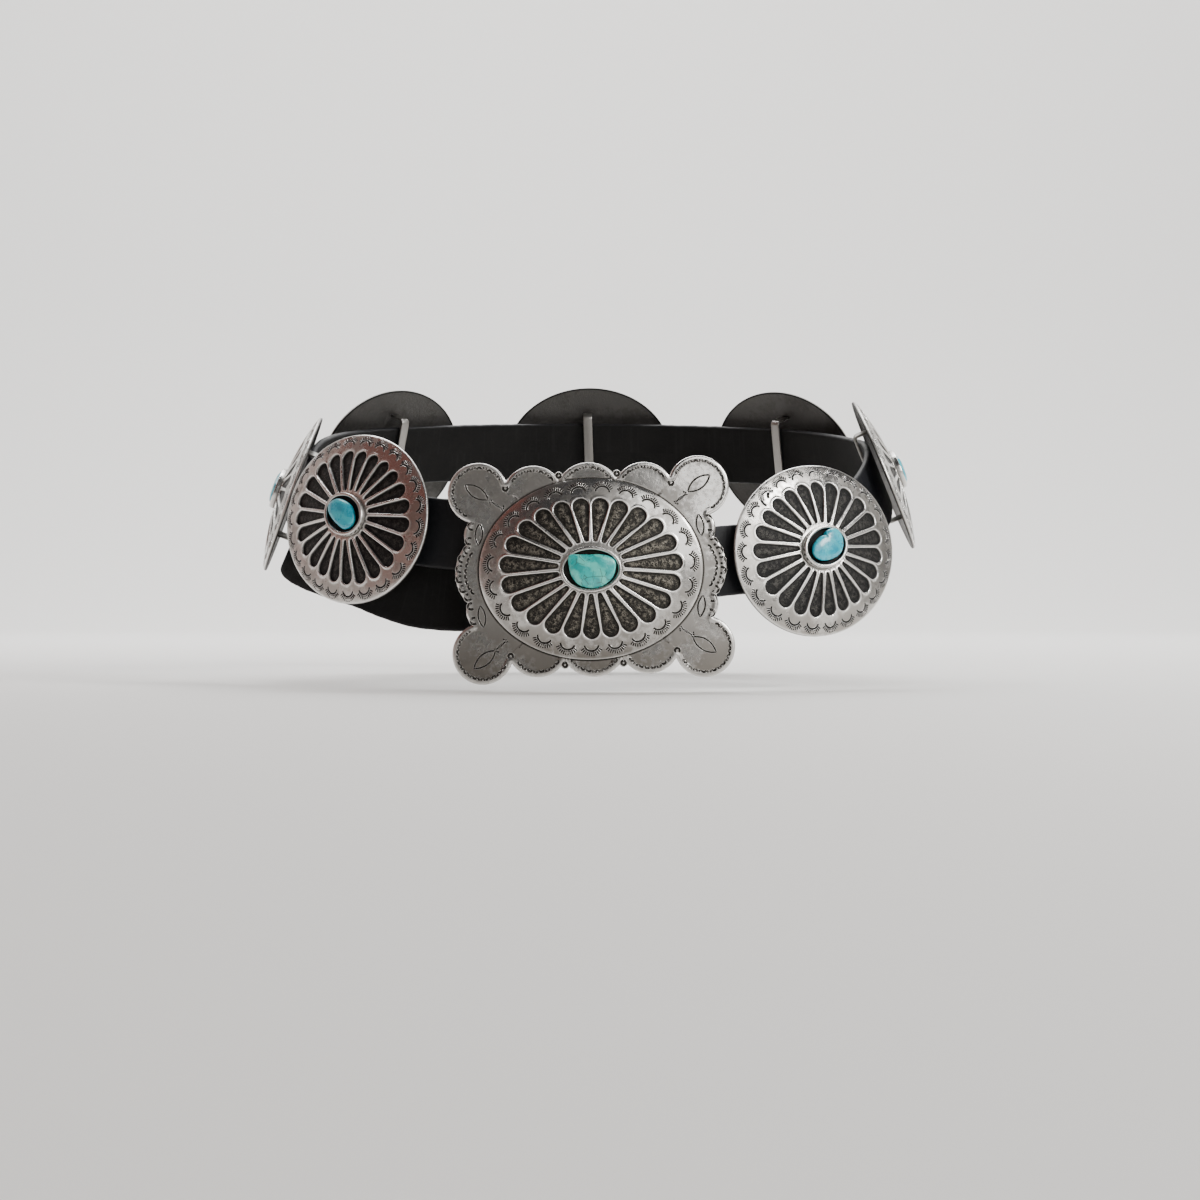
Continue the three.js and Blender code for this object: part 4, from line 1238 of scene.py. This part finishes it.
# Outlines of the tumbled stones, in mm from the middle of the bezel, anticlockwise from the right
nugget_outlines = {
    "squared": [(9.8, 0.2), (9.6, 3.0), (7.4, 4.9), (3.6, 5.8), (-0.4, 5.8), (-4.6, 6.0), (-8.1, 6.0),
                (-8.9, 3.6), (-8.5, -0.2), (-7.2, -3.6), (-4.4, -6.4), (0.2, -7.5), (5.0, -6.5), (8.4, -3.6)],
    "nicked": [(9.7, 0.6), (9.5, 3.6), (7.6, 5.8), (4.4, 6.4), (2.1, 5.9), (0.9, 4.9), (-1.0, 5.1),
               (-4.4, 4.1), (-7.2, 2.4), (-8.6, -0.4), (-7.0, -3.8), (-3.2, -5.6), (1.4, -6.0), (5.6, -5.2),
               (8.4, -2.6)],
    "slanted": [(6.6, 1.8), (3.4, 4.6), (-0.8, 5.8), (-5.0, 5.9), (-8.4, 4.4), (-9.8, 1.8), (-8.2, -1.2),
                (-4.6, -3.6), (-0.4, -5.4), (3.8, -6.4), (7.2, -4.8), (8.2, -1.6)],
}


def rounded_outline(corners, steps):
    """A closed smooth curve through the corners."""
    corners = np.array(corners)
    before, after, beyond = (np.roll(corners, -k, axis=0) for k in (-1, 1, 2))
    pieces = []
    for t in np.linspace(0, 1, steps + 1)[:-1]:
        pieces.append(0.5 * (2 * corners + (after - before) * t
                             + (2 * before - 5 * corners + 4 * after - beyond) * t**2
                             + (3 * corners - before - 3 * after + beyond) * t**3))
    return np.stack(pieces, axis=1).reshape(-1, 2)


def nugget_mesh(name, row, width, height, crown, drop=0.0):
    """A rounded stone from its seat up to its peak, in its bezel's axes."""
    line = rounded_outline(nugget_outlines[row["outline"]], 8)
    turn = math.radians(row["turn"])
    line = line @ np.array([[math.cos(turn), math.sin(turn)], [-math.sin(turn), math.cos(turn)]])
    line = line * [row["mirror"] * width / buckle_ring_width, height / buckle_ring_height] * mm
    middle = line.mean(axis=0)
    seat = crown + ring_proud - ring_pocket + clearance
    peak = crown + ring_proud + stone_proud
    rings = []
    for level, spread in [(0.0, 0.0), (0.0, 0.5)] + nugget_levels + [(1.004, 0.0)]:
        flat = middle + (line - middle) * spread
        slope = 0.12 * mm * level * (flat[:, 0] - middle[0]) / (width / 2)
        z = seat + level * (peak - seat) - np.abs(slope)
        rings.append(np.concatenate([flat - [0, drop], z[:, None]], axis=1))
    rings = np.array(rings)
    return closed_up(mesh_from(name, rings.reshape(-1, 3), wrap_faces(*rings.shape[:2])))


def turquoise_material(name, deep, middle, pale, fleck_share, banding):
    material, tree, shader = new_material(name)
    at = node(tree, "ShaderNodeTexCoord").outputs["Object"]
    drift = node(tree, "ShaderNodeTexNoise", {"Vector": at, "Scale": 180.0, "Detail": 3.0})
    waves = {"Vector": at, "Scale": 75.0, "Distortion": 7.0, "Detail": 3.0, "Detail Scale": 1.2}
    bands = node(tree, "ShaderNodeTexWave", waves, bands_direction="DIAGONAL")
    clouds = {"Vector": at, "Patch scale": 210.0, "Speck scale": 1300.0, "Speck share": 0.25}
    cloud = filled_group(tree, mottling, clouds)
    ground = blend_colours(tree, cloud.outputs[0], deep, middle)
    striped = calc(tree, "MULTIPLY", ranged(tree, bands.outputs[1], 0.45, 0.95), banding)
    ground = blend_colours(tree, striped, ground, pale)
    cells = node(tree, "ShaderNodeTexVoronoi", {"Vector": at, "Scale": 330.0}, feature="DISTANCE_TO_EDGE")
    vein = ranged(tree, cells.outputs[0], 0.055, 0.0)
    here = ranged(tree, drift.outputs[0], 1.0 - fleck_share, 1.08 - fleck_share)
    fleck = calc(tree, "MULTIPLY", vein, here)
    tree.links.new(blend_colours(tree, fleck, ground, (0.03, 0.022, 0.016, 1)), shader.inputs["Base Color"])
    tree.links.new(ranged(tree, cloud.outputs[0], 0.0, 1.0, 0.2, 0.32), shader.inputs["Roughness"])
    marks_cut = filled_group(tree, fine_scratches, {"Vector": at, "Scale": 900.0})
    swell = calc(tree, "MULTIPLY", drift.outputs[0], 1.2)
    height = calc(tree, "SUBTRACT", swell, calc(tree, "MULTIPLY", fleck, 0.5))
    height = calc(tree, "SUBTRACT", height, calc(tree, "MULTIPLY", marks_cut.outputs[0], 0.03))
    bump = node(tree, "ShaderNodeBump", {"Height": height, "Strength": 0.35, "Distance": 0.0003})
    tree.links.new(bump.outputs[0], shader.inputs["Normal"])
    shader.inputs["IOR"].default_value = 1.61
    shader.inputs["Coat Weight"].default_value = 0.4
    shader.inputs["Coat Roughness"].default_value = 0.1
    return material


green_turquoise = turquoise_material(
    "green_turquoise", (0.008, 0.30, 0.29, 1), (0.014, 0.51, 0.47, 1), (0.13, 0.72, 0.60, 1), 0.5, 0.7)


def stone_piece(name, replaced, mesh, matrix, material):
    points = np.zeros(len(mesh.vertices) * 3, dtype=np.float32)
    mesh.vertices.foreach_get("co", points)
    set_to = placed(points.reshape(-1, 3).astype(float), matrix)
    mesh.vertices.foreach_set("co", set_to.astype(np.float32).reshape(-1))
    mesh.update()
    piece = shown(name, mesh, material)
    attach(piece, "root")
    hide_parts(replaced)


buckle_nugget = {"outline": "squared", "turn": 0, "mirror": 1}
nugget = nugget_mesh("buckle_nugget", buckle_nugget, buckle_ring_width, buckle_ring_height, buckle_crown,
                     buckle_ring_drop)
stone_piece("buckle_nugget", "buckle_stone", nugget, buckle_matrix, green_turquoise)


# The conchos: seven oval silver shells, domed, fluted and stamped like the buckle's dome, each with its
# bezel soldered on the crown and a bridge of flat wire soldered across its hollow back.
# The strap runs through the bridge, so each slides on it and has turned and dropped a little by itself.
concho_width = 84.5 * mm
concho_height = 70.5 * mm
concho_rise = 7 * mm
concho_wall = 1.3 * mm
concho_ring_width = 23.5 * mm
concho_ring_height = 17.5 * mm
concho_bridge_height = 42 * mm
concho_grip = 0.1 * mm
concho_play = (concho_bridge_height - strap_width) / 2 - strap_slack
concho_crown = float(dome_level(0.31, concho_rise, concho_wall))
concho_rows = [
    {"name": "left_1", "round": 43.5, "tilt": -14, "drop": 0.2, "petals": 2},
    {"name": "left_2", "round": 81, "tilt": -4, "drop": 0.95, "petals": 5},
    {"name": "back_left", "round": 128, "tilt": 2, "drop": 0.5, "petals": 9},
    {"name": "back", "round": 179, "tilt": -2, "drop": 0.5, "petals": 0},
    {"name": "back_right", "round": 229, "tilt": 2, "drop": 0.5, "petals": 4},
    {"name": "right_2", "round": 277, "tilt": 3, "drop": 0.35, "petals": 7},
    {"name": "right_1", "round": 321.5, "tilt": 4, "drop": 0, "petals": 4},
]
nugget_rows = {
    "left_1": {"outline": "slanted", "turn": 12, "mirror": 1},
    "left_2": {"outline": "squared", "turn": 4, "mirror": -1},
    "back_left": {"outline": "nicked", "turn": -6, "mirror": -1},
    "back": {"outline": "squared", "turn": 180, "mirror": 1},
    "back_right": {"outline": "slanted", "turn": 8, "mirror": -1},
    "right_2": {"outline": "squared", "turn": -5, "mirror": 1},
    "right_1": {"outline": "nicked", "turn": 0, "mirror": 1},
}
# Its tarnish colour is also used for the painted shade that darkens the conchos towards the bottom
concho_silver = silver_material(
    "concho_silver", bright=(0.9, 0.885, 0.86, 1), plain=(0.6, 0.585, 0.56, 1),
    tarnish_and_shade_colour=(0.22, 0.195, 0.168, 1), oxide=(0.009, 0.0088, 0.009, 1), rubbed=(0.07, 0.066, 0.06, 1),
    tarnish_share=0.5)
blue_turquoise = turquoise_material(
    "blue_turquoise", (0.006, 0.26, 0.38, 1), (0.012, 0.46, 0.58, 1), (0.07, 0.62, 0.67, 1), 0.42, 0.35)


# One heavy crescent, struck twice a little apart by mistake, on the first concho to the right
crescent_bows = [
    arc(7.4 * mm, 6.2 * mm, 205, 10, 13),
    arc(4.4 * mm, 3.4 * mm, 170, 20, 9, (2.2 * mm, -0.4 * mm)),
]
crescent_lines = turned(crescent_bows, 24, (-14.0, 27.4))
heavy_crescent = struck("heavy_crescent", [(crescent_lines, 0.75 * mm)], 0.08 * mm)


def concho_front(points):
    return top_level(concho_shell, points)


def concho_matrix(row):
    matrix = loop_frame(row["round"])
    matrix[:3, 3] += matrix[:3, 2] * (strap_thickness / 2 + clearance)
    matrix[:3, 3] -= matrix[:3, 1] * row["drop"] * concho_play
    tilt = math.radians(row["tilt"])
    turn = np.eye(4)
    turn[:2, :2] = [[math.cos(tilt), -math.sin(tilt)], [math.sin(tilt), math.cos(tilt)]]
    return matrix @ turn


for number, row in enumerate(concho_rows):
    concho_shell = {
        "width": concho_width, "height": concho_height, "rise": concho_rise, "wall": concho_wall,
        "petals": row["petals"], "crown": 0.276, "band": 0.86, "flute_start": 0.288,
        "flute_margin": 7.6 * mm, "pitch": 10.6 * mm,
    }
    reach = concho_bridge_height / 2
    leg_share = (reach + bridge_wire / 2) / (concho_height / 2)
    seat = float(dome_level(leg_share, concho_rise - concho_wall, 0)) + concho_grip
    closed_parts = [
        fluted_dome(concho_shell),
        bezel_part(concho_ring_width, concho_ring_height, concho_crown, 30 + number),
        bridge_part(-reach, reach, -clearance - strap_thickness - bar_play, seat, seat),
    ]
    struck_parts = [laid_on(sunburst_ring(concho_shell, 5.4 * mm, 50 + number), concho_front)]
    if row["name"] == "right_1":
        struck_parts.append(laid_on(flat_marks(heavy_crescent.data), concho_front))
    matrix = concho_matrix(row)
    closed_parts = [moved(part, matrix) for part in closed_parts]
    struck_parts = [moved(part, matrix) for part in struck_parts]
    name = "silver_concho_" + row["name"]
    concho = shown(name, metal_mesh(name, closed_parts, struck_parts), concho_silver)
    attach(concho, "root")
    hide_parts("concho_" + row["name"])

    # Its nugget
    nugget = nugget_mesh("nugget_" + row["name"], nugget_rows[row["name"]], concho_ring_width, concho_ring_height,
                         concho_crown)
    stone_piece("nugget_" + row["name"], "stone_" + row["name"], nugget, matrix, blue_turquoise)

for leftover in [groove_outline, sunburst, ripple, horseshoe, singles, notches, boss_rings, heavy_crescent]:
    bpy.data.objects.remove(leftover)


# The stage: a wide round floor, pale and plain, soft lights and the photograph's camera.
# The floor sweeps up close behind the belt, and farther off at its sides and in front.
floor_level = -0.0485
floor_middle = -2.6
floor_reach = 4.0
sweep_radius = 1.0
wall_height = 2.6
floor_sides = 120
profile = [(0.0, floor_level), (floor_reach / 2, floor_level)]
for turn in np.linspace(0, math.pi / 2, 25):
    reach = floor_reach + sweep_radius * math.sin(turn)
    profile.append((reach, floor_level + sweep_radius * (1 - math.cos(turn))))
profile.append((floor_reach + sweep_radius, wall_height))
round_about = np.linspace(0, 2 * math.pi, floor_sides + 1)[:-1]
floor_rings = [np.stack([r * np.cos(round_about), floor_middle + r * np.sin(round_about),
                         np.full(floor_sides, z)], axis=1) for r, z in profile]
floor_faces = wrap_faces(len(profile), floor_sides)
floor_mesh = closed_up(mesh_from("floor", np.concatenate(floor_rings), floor_faces))
floor_paint, _, floor_shader = new_material("floor_paint")
floor_shader.inputs["Base Color"].default_value = (0.85, 0.84, 0.82, 1)
floor_shader.inputs["Roughness"].default_value = 0.9
floor = shown("floor", floor_mesh, floor_paint)


def soft_light(name, place, target, size, power, colour):
    lamp = bpy.data.lights.new(name, "AREA")
    lamp.shape = "RECTANGLE"
    lamp.size, lamp.size_y = size
    lamp.energy = power
    lamp.color = colour
    made = bpy.data.objects.new(name, lamp)
    bpy.context.scene.collection.objects.link(made)
    back = unit(np.array(place) - np.array(target))
    side = unit(np.cross([0, 0, 1], back))
    up = np.cross(back, side)
    matrix = np.eye(4)
    matrix[:3, 0], matrix[:3, 1], matrix[:3, 2], matrix[:3, 3] = side, up, back, place
    made.matrix_world = Matrix(matrix.tolist())


soft_light("window_light", (0.595, -0.953, 0.548), (0, 0, 0), (0.9, 0.8), 6, (1, 0.99, 0.97))
soft_light("window_pane", (1.0, -0.53, 0.66), (0, 0, 0), (0.3, 0.5), 11, (1, 0.99, 0.97))
soft_light("front_light", (0.0, -3.0, 0.6), (0, 0, 0), (3.0, 2.0), 0.9, (0.97, 0.98, 1.0))
soft_light("rear_light", (0.0, 0.9, 1.3), (0, 0.1, 0), (1.6, 0.7), 14, (1, 1, 1))
soft_light("warm_wall", (-1.13, -0.25, 0.5), (0, 0, 0), (1.8, 1.6), 1.35, (1, 0.2, 0.09))
soft_light("backdrop_light", (0.0, 0.6, 1.8), (0, 2.2, 0.4), (2.5, 0.8), 80, (1, 1, 1))

world = bpy.data.worlds.new("dim_room")
world.use_nodes = True
background = world.node_tree.nodes["Background"]
background.inputs["Color"].default_value = (0.96, 0.97, 1.0, 1)
background.inputs["Strength"].default_value = 0.07
bpy.context.scene.world = world

camera_data = bpy.data.cameras.new("camera")
camera_data.sensor_width = 36
camera_data.lens = 58.65
camera = bpy.data.objects.new("camera", camera_data)
camera.location = (0.0036, -0.900, -0.012)
camera.rotation_euler = (math.radians(90), 0, 0)
bpy.context.scene.collection.objects.link(camera)
bpy.context.scene.camera = camera
